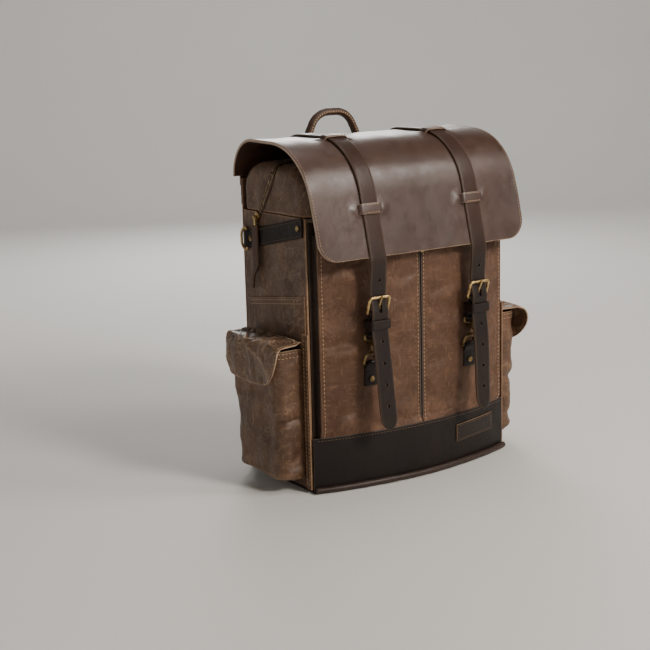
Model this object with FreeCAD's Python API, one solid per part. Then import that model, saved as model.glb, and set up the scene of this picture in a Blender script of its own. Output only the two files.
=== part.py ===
"""Canvas and leather motorcycle saddlebag: a rucksack-shaped pannier with a buckled leather lid.

Frame: millimetres, +Z up, the front faces -Y and +X is to the right seen from the front.
The origin is the middle of the leather underside. Every solid is one piece of the real bag.
"""

import FreeCAD
import Part
import math
import os

V = FreeCAD.Vector
X_AXIS, Y_AXIS, Z_AXIS = V(1, 0, 0), V(0, 1, 0), V(0, 0, 1)
GAP = 0.3  # running clearance between bodies
CLOSE = 0.1  # clearance between pieces sewn to one another

# Driving dimensions of the carcass
WIDTH, DEPTH = 280.0, 135.0
RIM_Z = 310.0  # seam between the carcass and the zipped collar
CANVAS = 3.0  # waxed canvas with its lining
LEATHER = 3.2
HALF_W, HALF_D = WIDTH / 2, DEPTH / 2

# Front: leather base band below, two canvas pocket halves above
BAND_TOP = 63.0
BAND_SAGITTA = 23.0
POCKET_HALF_W = 132.0
POCKET_EDGE_Y, POCKET_MID_Y = -74.0, -86.0
POCKET_TOP = 288.0
POCKET_SKIN = 2.5

# Zip rows
ROW_GAP, ROW_W, ROW_T = 1.6, 2.2, 2.4

# Collar
COLLAR_TOP = 365.0
COLLAR_Y = 64.3
ZIP_LOW, ZIP_TURN = (35.0, 298.0), (-4.0, 356.0)  # side zip in (y, z)

# Lid, drawn along its centre line in (y, z)
LID_HALF_W = 146.0
LID_BACK, LID_TOP, LID_FRONT_CORNER = (71.9, 347.0), 388.4, -68.5
LID_EDGE = (-99.45, 264.6)
LID_BACK_R, LID_FRONT_R = 41.4, 73.4
LID_CORNER_R = 22.0

# Straps and their quick releases
STRAP_X, STRAP_W, STRAP_T = 72.0, 22.0, 3.0
STRAP_RISE = LEATHER / 2 + CLOSE + STRAP_T / 2  # strap centre line above the lid's
BUCKLE_TOP, BUCKLE_HEEL = (-105.2, 221.0), (-99.5, 203.0)
BUCKLE_HALF_W, BUCKLE_R, HEEL_R = 13.6, 1.7, 1.5
HOOK_EYE = (-93.0, 178.5)
CROOK = (-93.0, 157.5)
CROOK_R, CROOK_WIRE = 5.7, 1.7

# Side pockets
SLIP_X = HALF_W + CLOSE
POCKET_X = SLIP_X + 1.6
SIDE_Y0, SIDE_Y1 = -52.0, 42.0
SIDE_BOTTOM, SIDE_TOP = 16.0, 165.0
SIDE_OUT_LOW, SIDE_OUT_TOP = 170.0, 178.0
FLAP_T = 2.2
FLAP_HINGE = (HALF_W + 3.0, 173.0)  # (x, z)

# Rack loops
RACK_X, RACK_AXIS, RACK_R = 95.0, (79.8, 262.0), 9.0
RACK_STRAP_W, RACK_STRAP_T = 25.0, 3.0

HANDLE_X, HANDLE_PIVOT = 36.0, (81.5, 357.0)
HANDLE_R, HANDLE_TOP = 5.25, 413.0

parts = {}


# ---------------------------------------------------------------- helpers

def box(x0, x1, y0, y1, z0, z1):
    return Part.makeBox(x1 - x0, y1 - y0, z1 - z0, V(x0, y0, z0))


def rod(radius, start, end):
    start, end = V(*start), V(*end)
    return Part.makeCylinder(radius, (end - start).Length, start, end - start)


def to_space(plane, point, level):
    """A point of a drawing plane, YZ, XZ or XY, placed at that level of the third axis."""
    a, b = point
    return {"YZ": V(level, a, b), "XZ": V(a, level, b), "XY": V(a, b, level)}[plane]


def sweep_vector(plane, length):
    return {"YZ": V(length, 0, 0), "XZ": V(0, length, 0), "XY": V(0, 0, length)}[plane]


def prism(plane, points, low, high):
    corners = [to_space(plane, p, low) for p in points]
    face = Part.Face(Part.makePolygon(corners + corners[:1]))
    return face.extrude(sweep_vector(plane, high - low))


def unit(a, b):
    length = math.hypot(b[0] - a[0], b[1] - a[1])
    return ((b[0] - a[0]) / length, (b[1] - a[1]) / length)


def rounded(points, radii):
    """Lines and tangent arcs through 2D points: ("line", a, b) or ("arc", centre, radius, a0, a1)."""
    pieces, start = [], points[0]
    for before, corner, after, radius in zip(points, points[1:], points[2:], radii):
        d1, d2 = unit(before, corner), unit(corner, after)
        turn = math.atan2(d1[0] * d2[1] - d1[1] * d2[0], d1[0] * d2[0] + d1[1] * d2[1])
        back = radius * math.tan(abs(turn) / 2)
        t1 = (corner[0] - d1[0] * back, corner[1] - d1[1] * back)
        t2 = (corner[0] + d2[0] * back, corner[1] + d2[1] * back)
        side = 1 if turn > 0 else -1
        centre = (t1[0] - side * d1[1] * radius, t1[1] + side * d1[0] * radius)
        a0 = math.atan2(t1[1] - centre[1], t1[0] - centre[0])
        pieces += [("line", start, t1), ("arc", centre, radius, a0, a0 + turn)]
        start = t2
    pieces.append(("line", start, points[-1]))
    return [p for p in pieces if p[0] == "arc" or math.dist(p[1], p[2]) > 1e-6]


def offset_edges(pieces, shift, plane, level):
    """The path's edges moved to its left by shift, in space, with the end points."""
    edges, ends = [], []
    for piece in pieces:
        if piece[0] == "line":
            d = unit(piece[1], piece[2])
            a, b = [(p[0] - d[1] * shift, p[1] + d[0] * shift) for p in piece[1:]]
            p, q = to_space(plane, a, level), to_space(plane, b, level)
            edges.append(Part.LineSegment(p, q).toShape())
        else:
            _, centre, radius, a0, a1 = piece
            r = radius - shift if a1 > a0 else radius + shift
            p, m, q = [
                to_space(plane, (centre[0] + r * math.cos(a), centre[1] + r * math.sin(a)), level)
                for a in (a0, (a0 + a1) / 2, a1)
            ]
            edges.append(Part.Arc(p, m, q).toShape())
        ends += [p, q]
    return edges, ends[0], ends[-1]


def band(plane, points, radii, thickness, low, high):
    """A strip of constant thickness along a rounded path, with its width along the third axis."""
    pieces = rounded(points, radii)
    left, la, lb = offset_edges(pieces, thickness / 2, plane, low)
    right, ra, rb = offset_edges(pieces, -thickness / 2, plane, low)
    caps = [Part.LineSegment(lb, rb).toShape(), Part.LineSegment(la, ra).toShape()]
    wire = Part.Wire(Part.__sortEdges__(left + right + caps))
    return Part.Face(wire).extrude(sweep_vector(plane, high - low))


def wire_form(points, radii, radius, place):
    """Round wire bent along a rounded 2D path, with place() giving each point in space."""
    edges = []
    for piece in rounded(points, radii):
        if piece[0] == "line":
            edges.append(Part.LineSegment(place(piece[1]), place(piece[2])).toShape())
        else:
            _, c, r, a0, a1 = piece
            mids = [(c[0] + r * math.cos(a), c[1] + r * math.sin(a)) for a in (a0, (a0 + a1) / 2, a1)]
            edges.append(Part.Arc(*[place(m) for m in mids]).toShape())
    start = edges[0].firstVertex().Point
    tangent = edges[0].tangentAt(edges[0].FirstParameter)
    section = Part.Wire(Part.makeCircle(radius, start, tangent))
    return Part.Wire(edges).makePipeShell([section], True, False)


def mirrored(shape):
    return shape.mirror(V(0, 0, 0), X_AXIS)


def pair(name, shape):
    """Adds the piece drawn on the left (-X) and its mirror image."""
    parts[name + "_left"] = shape
    parts[name + "_right"] = mirrored(shape)


def both(name, shape):
    """One node holding the piece drawn on the left and its mirror image."""
    parts[name] = Part.Compound([shape, mirrored(shape)])


def turned(shape, degrees, centre, axis=X_AXIS):
    copy = shape.copy()
    copy.rotate(centre, axis, degrees)
    return copy


def disc_x(radius, x0, x1, y, z):
    return rod(radius, (x0, y, z), (x1, y, z))


# ---------------------------------------------------------------- carcass

def front_arc(half_width, edge_y, mid_y):
    """Centre y and radius of the plan-view arc through (+-half_width, edge_y) and (0, mid_y)."""
    sagitta = edge_y - mid_y
    radius = (half_width ** 2 + sagitta ** 2) / (2 * sagitta)
    return mid_y + radius, radius


def arc_y(x, half_width, edge_y, mid_y):
    centre, radius = front_arc(half_width, edge_y, mid_y)
    return centre - math.sqrt(radius ** 2 - x ** 2)


def arc_sheet(half_width, edge_y, mid_y, thickness, x0, x1, z0, z1):
    """A sheet bent to the front's plan-view arc, its outer face on the arc, from x0 to x1."""
    centre, radius = front_arc(half_width, edge_y, mid_y)
    axis = V(0, centre, z0)
    ring = Part.makeCylinder(radius, z1 - z0, axis).cut(
        Part.makeCylinder(radius - thickness, z1 - z0, axis)
    )
    return ring.common(box(x0, x1, mid_y - 1, edge_y + thickness + 2, z0, z1))


def make_carcass():
    band_mid = -HALF_D - BAND_SAGITTA
    centre, radius = front_arc(HALF_W, -HALF_D, band_mid)
    corner = 6.0
    rear = box(-HALF_W, HALF_W, -HALF_D, HALF_D, 0, CANVAS)
    rear_edges = [
        e for e in rear.Edges
        if e.BoundBox.ZLength > 1 and e.BoundBox.YMax > 0
    ]
    rear = rear.makeFillet(corner, rear_edges)
    nose = Part.makeCylinder(radius, CANVAS, V(0, centre, 0)).common(
        box(-HALF_W, HALF_W, band_mid, -HALF_D + 1, 0, CANVAS)
    )
    parts["base_panel"] = rear.fuse(nose).removeSplitter()
    parts["base_board"] = box(-128, 128, -60, 56, CANVAS + CLOSE, CANVAS + 3)
    parts["front_base_band"] = arc_sheet(
        HALF_W, -HALF_D, band_mid, LEATHER, -HALF_W, HALF_W, CANVAS, BAND_TOP
    )
    side = box(-HALF_W, -HALF_W + CANVAS, -HALF_D + LEATHER + 1, HALF_D - CANVAS, CANVAS, RIM_Z)
    parts["side_panel_left"] = side.cut(zip_band("left", 2 * ROW_W + ROW_GAP + 2 * CLOSE))
    parts["side_panel_right"] = mirrored(side).cut(
        zip_band("right", 2 * ROW_W + ROW_GAP + 2 * CLOSE)
    )
    inside = HALF_W - CANVAS
    back = box(-HALF_W, HALF_W, HALF_D - CANVAS, HALF_D, CANVAS, LID_BACK[1] - 2)
    parts["back_panel"] = back.cut(box(-inside, inside, 0, HALF_D - CANVAS, CANVAS, RIM_Z))
    parts["back_stiffener"] = box(
        -125, 125, HALF_D - CANVAS - 2.5, HALF_D - CANVAS - CLOSE, 8, RIM_Z - 10
    )
    parts["front_wall"] = box(-inside + CLOSE, inside - CLOSE, -HALF_D + LEATHER + 1,
                              -HALF_D + LEATHER + 1 + CANVAS, CANVAS, RIM_Z)
    make_lining(inside)
    piping_r = 2.6
    run = radius + piping_r + CLOSE
    span = math.asin(HALF_W / run)
    ends = [
        V(run * math.sin(a), centre - run * math.cos(a), piping_r + 1.4)
        for a in (-span, 0, span)
    ]
    path = Part.Wire(Part.Arc(*ends).toShape())
    tangent = path.Edges[0].tangentAt(path.Edges[0].FirstParameter)
    section = Part.Wire(Part.makeCircle(piping_r, ends[0], tangent))
    parts["base_piping"] = path.makePipeShell([section], True, False)
    patch = arc_sheet(HALF_W, -HALF_D - 1.5, band_mid - 1.5, 1.4, 49, 115, 29, 49)
    parts["base_patch"] = patch


def make_lining(inside):
    skin = 0.8
    floor = CANVAS + 3 + CLOSE
    y0, y1 = -HALF_D + LEATHER + 1 + CANVAS + CLOSE, HALF_D - CANVAS - 2.5 - CLOSE
    x1 = inside - CLOSE
    shell = box(-x1, x1, y0, y1, floor, RIM_Z - 1)
    hollow = box(-x1 + skin, x1 - skin, y0 + skin, y1 - skin, floor + skin, RIM_Z)
    shell = shell.cut(hollow)
    parts["lining"] = shell.cut(zip_band("both", 14.0))


def make_front_pocket():
    """Two canvas halves meeting at the centre zip, with a gusset along the sides and the top."""
    half = ROW_GAP / 2 + ROW_W + CLOSE
    skin = arc_sheet(POCKET_HALF_W, POCKET_EDGE_Y, POCKET_MID_Y, POCKET_SKIN,
                     -POCKET_HALF_W, -half, BAND_TOP, POCKET_TOP)
    pair("front_pocket", skin)
    solid = prism("XY", [(-POCKET_HALF_W, -HALF_D + LEATHER + 1), (-POCKET_HALF_W, POCKET_MID_Y - 5),
                         (POCKET_HALF_W, POCKET_MID_Y - 5), (POCKET_HALF_W, -HALF_D + LEATHER + 1)],
                  BAND_TOP, POCKET_TOP + POCKET_SKIN)
    centre, radius = front_arc(POCKET_HALF_W, POCKET_EDGE_Y, POCKET_MID_Y)
    solid = solid.common(Part.makeCylinder(radius, POCKET_TOP + 10, V(0, centre, 0)))
    inner = POCKET_HALF_W - POCKET_SKIN
    hollow = box(-inner, inner, -120, -HALF_D + LEATHER + 1, BAND_TOP, POCKET_TOP)
    gusset = solid.cut(hollow)
    gusset = gusset.cut(parts["front_pocket_left"]).cut(parts["front_pocket_right"])
    parts["front_pocket_gusset"] = gusset
    rows = []
    for side in (-1, 1):
        inner_x, outer_x = side * ROW_GAP / 2, side * (ROW_GAP / 2 + ROW_W)
        rows.append(box(min(inner_x, outer_x), max(inner_x, outer_x), POCKET_MID_Y - 0.5,
                        POCKET_MID_Y - 0.5 + ROW_T, BAND_TOP + 3, POCKET_TOP - 2))
    stop = box(-2.6, 2.6, POCKET_MID_Y - 0.9, POCKET_MID_Y + 1.4, BAND_TOP + 0.2, BAND_TOP + 2.8)
    parts["front_zip_teeth"] = Part.Compound(rows + [stop])


def make_front_slider():
    z0, z1 = 272.0, 284.0
    y = POCKET_MID_Y - 0.5 - GAP
    plate = prism("XZ", [(-2.6, z0), (2.6, z0), (4.4, z1), (-4.4, z1)], y - 1.3, y)
    post = box(-0.5, 0.5, y - 0.2, y + ROW_T, z0 + 2, z1 - 2)
    lugs = [box(x, x + 1.1, y - 3.9, y - 1.2, 277.0, 281.0) for x in (-3.1, 2.0)]
    body = plate.fuse([post] + lugs)
    pin = rod(0.7, (-3.1, y - 2.9, 279), (3.1, y - 2.9, 279))
    parts["front_zip_slider"] = body.fuse(pin).removeSplitter()
    eye = rod(1.45, (-1.6, y - 2.9, 279), (1.6, y - 2.9, 279))
    tab = prism("XZ", [(-1.6, 279), (1.6, 279), (3.2, 265), (2.0, 261.5), (-2.0, 261.5), (-3.2, 265)],
                y - 3.5, y - 2.3)
    pull = eye.fuse(tab).cut(rod(0.8, (-3, y - 2.9, 279), (3, y - 2.9, 279)))
    parts["front_zip_pull"] = pull.removeSplitter()


# ---------------------------------------------------------------- collar and main zip

def zip_line(shift):
    """The zip's line in (y, z) moved towards the front by shift, from below its end to above the top."""
    d = unit(ZIP_LOW, ZIP_TURN)
    n = (-d[1], d[0])
    low = (ZIP_LOW[0] - d[0] * 4 + n[0] * shift, ZIP_LOW[1] - d[1] * 4 + n[1] * shift)
    top_y = ZIP_TURN[0] - shift
    run = (low[0] - top_y) / -d[0]
    return [low, (top_y, low[1] + d[1] * run), (top_y, COLLAR_TOP + 30)]


def zip_strip(near, far):
    """The region between two shifts of the zip's line, right across the bag."""
    outline = zip_line(near) + zip_line(far)[::-1]
    return prism("YZ", outline, -HALF_W - 10, HALF_W + 10)


def zip_band(side, width):
    strip = zip_strip(-width / 2, width / 2)
    if side == "left":
        return strip.common(box(-HALF_W - 10, 0, -100, 100, 0, 400))
    if side == "right":
        return strip.common(box(0, HALF_W + 10, -100, 100, 0, 400))
    return strip


def dome(grow):
    """The collar's solid shape, grown outwards by that much."""
    x, y, top = HALF_W + grow, COLLAR_Y + grow, COLLAR_TOP + grow
    body = box(-x, x, -y, y, RIM_Z - 40, top)
    long_edges = [e for e in body.Edges if e.BoundBox.XLength > 100 and e.BoundBox.ZMin > RIM_Z]
    body = body.makeFillet(35 + grow, long_edges)
    ends = [
        e for e in body.Edges
        if abs(abs(e.CenterOfMass.x) - x) < 1e-3 and e.BoundBox.ZMax > RIM_Z + 20
        and e.BoundBox.ZMin > RIM_Z
    ]
    return body.makeFillet(14 + grow, ends)


def make_collar():
    above = box(-200, 200, -200, 200, RIM_Z + GAP, 500)
    shell = dome(0).cut(dome(-CANVAS))
    edge = ROW_GAP / 2 + ROW_W + CLOSE
    front_region = prism("YZ", zip_line(edge) + [(-200, 500), (-200, 100)], -300, 300)
    back_region = prism("YZ", zip_line(-edge) + [(200, 500), (200, 100)], -300, 300)
    front = shell.common(front_region).common(above)
    back = shell.common(back_region).common(above)
    parts["collar_back"] = back
    teeth = dome(1.0).cut(dome(1.0 - ROW_T))
    front_row = teeth.common(zip_strip(ROW_GAP / 2, ROW_GAP / 2 + ROW_W))
    back_row = teeth.common(zip_strip(-ROW_GAP / 2 - ROW_W, -ROW_GAP / 2))
    parts["main_zip_back_row"] = back_row
    hinge, far = (-COLLAR_Y - CLOSE, RIM_Z), (ZIP_TURN[0] + 60, ZIP_TURN[1] + 46)
    flap = prism("YZ", [hinge, far, (far[0], 500), (-200, 500), (-200, RIM_Z)], -300, 300)
    rest = prism("YZ", [(hinge[0], 200), (far[0], 200), (far[0], far[1] - 2 * GAP),
                        (hinge[0], RIM_Z - 2 * GAP)], -300, 300)
    parts["collar_front"] = front.common(flap)
    parts["collar_sides"] = front.common(rest)
    parts["main_zip_front_row"] = front_row.common(flap)
    parts["main_zip_side_rows"] = front_row.common(rest)


def make_main_slider():
    """Drawn along +Z at the zip's lower end, then leant to the zip's slope about its own middle."""
    d = unit(ZIP_LOW, ZIP_TURN)
    mid = V(0, ZIP_LOW[0] + d[0] * 6, ZIP_LOW[1] + d[1] * 6)
    x = -HALF_W - 1.0 - GAP
    cy, cz = mid.y, mid.z
    plate = prism("YZ", [(cy - 2.6, cz - 6), (cy + 2.6, cz - 6), (cy + 4.6, cz + 6), (cy - 4.6, cz + 6)],
                  x - 1.4, x)
    post = box(x - 0.2, x + ROW_T, cy - 0.5, cy + 0.5, cz - 4, cz + 4)
    lean = math.degrees(math.atan2(-d[0], d[1]))
    body = turned(plate.fuse(post), lean, mid)
    pivot_x = x - 3.2
    lugs = [box(pivot_x - 1, x - 1.2, cy + s - 0.6, cy + s + 0.6, cz - 2, cz + 2) for s in (-3.0, 3.0)]
    pin = rod(0.8, (pivot_x, cy - 3.6, cz), (pivot_x, cy + 3.6, cz))
    parts["main_zip_slider"] = body.fuse(lugs + [pin]).removeSplitter()
    eye = rod(1.8, (pivot_x, cy - 2.0, cz), (pivot_x, cy + 2.0, cz))
    loop = box(pivot_x - 0.8, pivot_x + 0.8, cy - 2.0, cy + 2.0, cz - 9, cz - 0.5)
    loop = loop.fuse(eye).cut(rod(0.9, (pivot_x, cy - 5, cz), (pivot_x, cy + 5, cz)))
    parts["main_pull_ring"] = loop.removeSplitter()
    top, waist, tip = cz - 9 - CLOSE, 250.0, 221.0
    outline = [(cy - 6, top), (cy + 6, top), (cy + 6, waist - 6), (cy + 9.5, waist - 16),
               (cy + 11.5, tip), (cy + 7.0, tip), (cy + 4.0, waist - 14), (cy - 2, waist - 7),
               (cy - 6, waist)]
    parts["main_pull_tab"] = prism("YZ", outline, pivot_x - 1.3, pivot_x + 1.1)


# ---------------------------------------------------------------- side pieces

def side_strap_z(y):
    """The upper edge of the leather strap across the side: it falls towards the back."""
    return 298.0 - 0.21 * y


def make_side_strap():
    y0, y1, tall = -60.0, 50.0, 22.0
    outline = [(y0, side_strap_z(y0)), (y1, side_strap_z(y1)), (y1, side_strap_z(y1) - tall),
               (y0, side_strap_z(y0) - tall)]
    thick = 2.4
    strap = prism("YZ", outline, -SLIP_X - thick, -SLIP_X)
    bar_y, bar_z = y1 + 2.6, side_strap_z(y1) - tall / 2
    bar_x = -SLIP_X - 2.9
    curl = rod(2.9, (bar_x, bar_y, bar_z - 10), (bar_x, bar_y, bar_z + 10))
    strap = strap.fuse(curl).cut(rod(1.5 + GAP / 2, (bar_x, bar_y, bar_z - 14), (bar_x, bar_y, bar_z + 14)))
    both("side_straps", strap.removeSplitter())
    ring_points = [(bar_y, bar_z), (bar_y, bar_z + 12.5), (bar_y + 12, bar_z + 12.5),
                   (bar_y + 12, bar_z - 12.5), (bar_y, bar_z - 12.5), (bar_y, bar_z)]
    ring = wire_form(ring_points, [2.5, 9, 9, 2.5], 1.5, lambda p: V(bar_x, p[0], p[1]))
    pair("side_ring", ring)
    rivets = []
    for y in (y0 + 7, y1 - 5):
        z = side_strap_z(y) - tall / 2
        rivets.append(disc_x(3.2, -SLIP_X - thick - 1.2, -SLIP_X - thick, y, z))
    return rivets


def make_side_pocket():
    slip = prism("YZ", [(-60, 24), (58, 24), (58, 207), (-60, 223)], -SLIP_X - 1.5, -SLIP_X)
    both("slip_pockets", slip)
    skin = 2.0

    def shell(grow, top):
        outline = [(-POCKET_X, SIDE_BOTTOM - grow), (-SIDE_OUT_LOW - grow, SIDE_BOTTOM + 2 - grow),
                   (-SIDE_OUT_TOP - grow, top), (-POCKET_X, top)]
        body = prism("XZ", outline, SIDE_Y0 - grow, SIDE_Y1 + grow)
        edges = [
            e for e in body.Edges
            if e.BoundBox.ZLength > 100 and e.BoundBox.XMax < -POCKET_X - 10
        ]
        return body.makeFillet(12 + grow, edges)

    inner = shell(-skin, SIDE_TOP)
    top_box = box(-300, 0, -200, 200, SIDE_TOP - 1, 300)
    pocket = shell(0, SIDE_TOP).cut(inner).cut(top_box)
    pair("side_pocket", pocket)
    hx, hz = FLAP_HINGE
    clear = 3.6
    out = SIDE_OUT_TOP + clear + FLAP_T / 2
    drop_z = 127.0
    lean = (SIDE_OUT_TOP - SIDE_OUT_LOW) / (SIDE_TOP - SIDE_BOTTOM - 2)
    foot = out - lean * (hz - drop_z)
    flap = band("XZ", [(-hx - 0.3, hz), (-out, hz), (-foot, drop_z)], [9], FLAP_T,
                SIDE_Y0 - 3, SIDE_Y1 + 4)
    corner = 16.0
    for y, side in ((SIDE_Y0 - 3, 1), (SIDE_Y1 + 4, -1)):
        block = box(-300, -150, min(y, y + side * corner), max(y, y + side * corner),
                    drop_z - 2, drop_z + corner)
        keep = rod(corner, (-300, y + side * corner, drop_z + corner),
                   (-100, y + side * corner, drop_z + corner))
        flap = flap.cut(block.cut(keep))
    pair("side_flap", flap)
    root = box(-POCKET_X - 1.0, -POCKET_X, SIDE_Y0 - 2, SIDE_Y1 + 2, hz - 7, hz - 1.6)
    both("flap_roots", root)
    snap_y, snap_z = (SIDE_Y0 + SIDE_Y1) / 2, 142.0
    face_x = SIDE_OUT_LOW + lean * (snap_z - SIDE_BOTTOM - 2)
    studs = disc_x(6.0, -face_x - 1.05, -face_x - 0.45, snap_y, snap_z)
    caps = disc_x(7.0, -face_x - 2.7, -face_x - 1.4, snap_y, snap_z)
    parts["pocket_snap_studs"] = Part.Compound([studs, mirrored(studs)])
    pair("flap_snap", caps)


# ---------------------------------------------------------------- lid, straps and closures

def lid_path(rise):
    """The lid's centre line moved outwards by rise: points and corner radii."""
    d = unit(LID_EDGE, (LID_FRONT_CORNER, LID_TOP))
    edge = (LID_EDGE[0] - d[1] * rise, LID_EDGE[1] + d[0] * rise)
    top = LID_TOP + rise
    corner_y = edge[0] + d[0] / d[1] * (top - edge[1])
    back_y = LID_BACK[0] + rise
    return [(back_y, LID_BACK[1]), (back_y, top), (corner_y, top), edge], [
        LID_BACK_R + rise, LID_FRONT_R + rise]


def make_lid():
    points, radii = lid_path(0)
    lid = band("YZ", points, radii, LEATHER, -LID_HALF_W, LID_HALF_W)
    low = LID_EDGE[1] - 2
    for side in (-1, 1):
        x = side * LID_HALF_W
        inner = x - side * LID_CORNER_R
        block = box(min(x, inner), max(x, inner), -140, -60, low, low + LID_CORNER_R + 2)
        keep = rod(LID_CORNER_R, (inner, -141, low + LID_CORNER_R + 2), (inner, -59, low + LID_CORNER_R + 2))
        lid = lid.cut(block.cut(keep))
    parts["lid"] = lid
    parts["lid_anchor_strip"] = box(-138, 138, HALF_D + CLOSE, HALF_D + CLOSE + LEATHER,
                                    314, LID_BACK[1] - 2.5)


def make_keepers():
    """Four raised loops on the lid that hold the two straps down."""
    points, radii = lid_path(LEATHER / 2)
    thick, width = 1.8, 12.0
    rise = STRAP_T + 2 * CLOSE + GAP + thick / 2
    half = STRAP_W / 2 + 0.6 + thick / 2
    line = [(-half - 7, thick / 2), (-half, thick / 2), (-half, rise), (half, rise),
            (half, thick / 2), (half + 7, thick / 2)]
    loop = band("XZ", line, [1.2] * 4, thick, -width / 2, width / 2)
    loop.translate(V(STRAP_X, 0, 0))
    front = unit(points[3], points[2])
    centre = (points[2][0] + radii[1] * math.tan(math.radians(90 - math.degrees(
        math.atan2(front[0], front[1]))) / 2), points[2][1] - radii[1])
    keepers = []
    tilt = math.radians(29)
    places = [
        (centre[0] - radii[1] * math.sin(tilt), centre[1] + radii[1] * math.cos(tilt), math.degrees(tilt)),
        (points[3][0] + front[0] * 54, points[3][1] + front[1] * 54,
         90 - math.degrees(math.atan2(front[0], front[1]))),
    ]
    for y, z, lean in places:
        keeper = turned(loop, lean, V(0, 0, 0))
        keeper.translate(V(0, y, z))
        keeper = keeper.cut(parts["lid"])
        keepers += [keeper, mirrored(keeper)]
    parts["lid_keepers_upper"] = Part.Compound(keepers[:2])
    parts["lid_keepers_front"] = Part.Compound(keepers[2:])


STRAP_RUN = [(-103.9, 260.0), (-100.9, 222.0), (-105.6, 203.0), (-103.6, 190.0), (-118.5, 73.0)]


def make_strap():
    points, radii = lid_path(STRAP_RISE)
    run = points[:3] + STRAP_RUN
    x0, x1 = -STRAP_X - STRAP_W / 2, -STRAP_X + STRAP_W / 2
    strap = band("YZ", run, radii + [25, 16, 9, 14], STRAP_T, x0, x1)
    slot = box(-STRAP_X - 2.4, -STRAP_X + 2.4, -112, -95, 203.5, 217.0)
    strap = strap.cut(slot)
    for z in (100, 124, 148, 172, 240):
        strap = strap.cut(rod(1.9, (-STRAP_X, -140, z), (-STRAP_X, -90, z)))
    tip = STRAP_RUN[-1][1]
    for side in (-1, 1):
        x = -STRAP_X + side * STRAP_W / 2
        strap = strap.cut(prism("XZ", [(x + side, tip - 3), (x + side, tip + 14), (x, tip + 11),
                                       (x - side * 7, tip - 3)], -140, -100))
    pair("strap", strap)


def make_buckle():
    """Brass frame: outer bar over the strap, heel bar inside the chape."""
    top, heel = BUCKLE_TOP, BUCKLE_HEEL
    along = unit(heel, top)
    length = math.hypot(top[0] - heel[0], top[1] - heel[1])
    w = BUCKLE_HALF_W

    def place(p):
        return V(-STRAP_X + p[0], heel[0] + along[0] * p[1], heel[1] + along[1] * p[1])

    outline = [(0, 0), (-w, 0), (-w, length), (w, length), (w, 0), (0, 0)]
    frame = wire_form(outline, [2.5, 3.5, 3.5, 2.5], BUCKLE_R, place)
    both("buckles", frame)
    tip = (top[0] - BUCKLE_R - 2.0, top[1] + 1.0)
    eye = rod(3.1, (-STRAP_X - 1.6, *heel), (-STRAP_X + 1.6, *heel))
    blade = rod(1.2, (-STRAP_X, *heel), (-STRAP_X, *tip))
    prong = eye.fuse(blade).cut(rod(BUCKLE_R + 0.15, (-STRAP_X - 5, *heel), (-STRAP_X + 5, *heel)))
    pair("buckle_prong", prong.removeSplitter())


def make_chape():
    """Leather folded round the buckle's heel bar and the hook's eye bar, sewn between them."""
    heel, eye = BUCKLE_HEEL, HOOK_EYE
    x0, x1 = -STRAP_X - 10.5, -STRAP_X + 10.5
    wrap = BUCKLE_R + CLOSE + 1.7
    bulbs = [rod(wrap, (x0, *p), (x1, *p)) for p in (heel, eye)]
    d = unit(eye, heel)
    n = (-d[1] * 1.9, d[0] * 1.9)
    slab = prism("YZ", [(eye[0] + n[0], eye[1] + n[1]), (heel[0] + n[0], heel[1] + n[1]),
                        (heel[0] - n[0], heel[1] - n[1]), (eye[0] - n[0], eye[1] - n[1])], x0, x1)
    chape = slab.fuse(bulbs)
    for p in (heel, eye):
        chape = chape.cut(rod(BUCKLE_R + CLOSE, (x0 - 1, *p), (x1 + 1, *p)))
    slot = box(-STRAP_X - 2.2, -STRAP_X + 2.2, heel[0] - 8, heel[0] + 8, heel[1] - 4.2, heel[1] + 8)
    both("chapes", chape.cut(slot).removeSplitter())
    mid_z, tall, thick = 190.5, 10.0, 1.8
    y_front, y_back = -106.6, -92.2
    half = STRAP_W / 2 + 0.5
    outer = box(-STRAP_X - half - thick, -STRAP_X + half + thick, y_front - thick, y_back + thick,
                mid_z - tall / 2, mid_z + tall / 2)
    outer = outer.makeFillet(2.4, [e for e in outer.Edges if e.BoundBox.ZLength > 5])
    inner = box(-STRAP_X - half, -STRAP_X + half, y_front, y_back, mid_z - 20, mid_z + 20)
    both("strap_keepers", outer.cut(inner))


def make_hook():
    """Brass snap hook: eye bar in the chape, crook through the front ring, sliding gate."""
    ey, ez = HOOK_EYE
    cy, cz = CROOK
    x = -STRAP_X

    down = unit(HOOK_EYE, CROOK)

    def eye_place(p):
        return V(x + p[0], ey + down[0] * p[1], ez + down[1] * p[1])

    w = 12.6
    outline = [(0, 0), (-w, 0), (-w, 5), (-3, 8), (3, 8), (w, 5), (w, 0), (0, 0)]
    eye = wire_form(outline, [2, 2, 2, 2, 2, 2], 1.6, eye_place)
    block = box(x - 4, x + 4, cy - 2.4, cy + 7.9, 165.0, 172.4)
    neck = rod(CROOK_WIRE, (x, cy, cz + CROOK_R), (x, cy, 168))
    ring = Part.makeTorus(CROOK_R, CROOK_WIRE, V(x, cy, cz), X_AXIS)
    mouth = prism("YZ", [(cy, cz), (cy + 1, cz - 12), (cy + 12, cz - 12), (cy + 12, cz + 12),
                         (cy, cz + 12)], x - 5, x + 5)
    crook = ring.cut(mouth)
    gate_y = cy + CROOK_R
    bore = rod(1.55, (x, gate_y, 160), (x, gate_y, 180))
    slot = box(x, x + 6, gate_y - 0.9, gate_y + 0.9, 160, 180)
    body = eye.fuse([block, neck, crook]).cut(bore).cut(slot)
    both("snap_hooks", body.removeSplitter())
    rod_low = cz - 1.0
    gate = rod(1.4, (x, gate_y, rod_low), (x, gate_y, 168.0))
    stud = box(x, x + 6.4, gate_y - 0.6, gate_y + 0.6, 165.6, 168.0)
    pair("hook_gate", gate.fuse(stud).removeSplitter())


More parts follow.
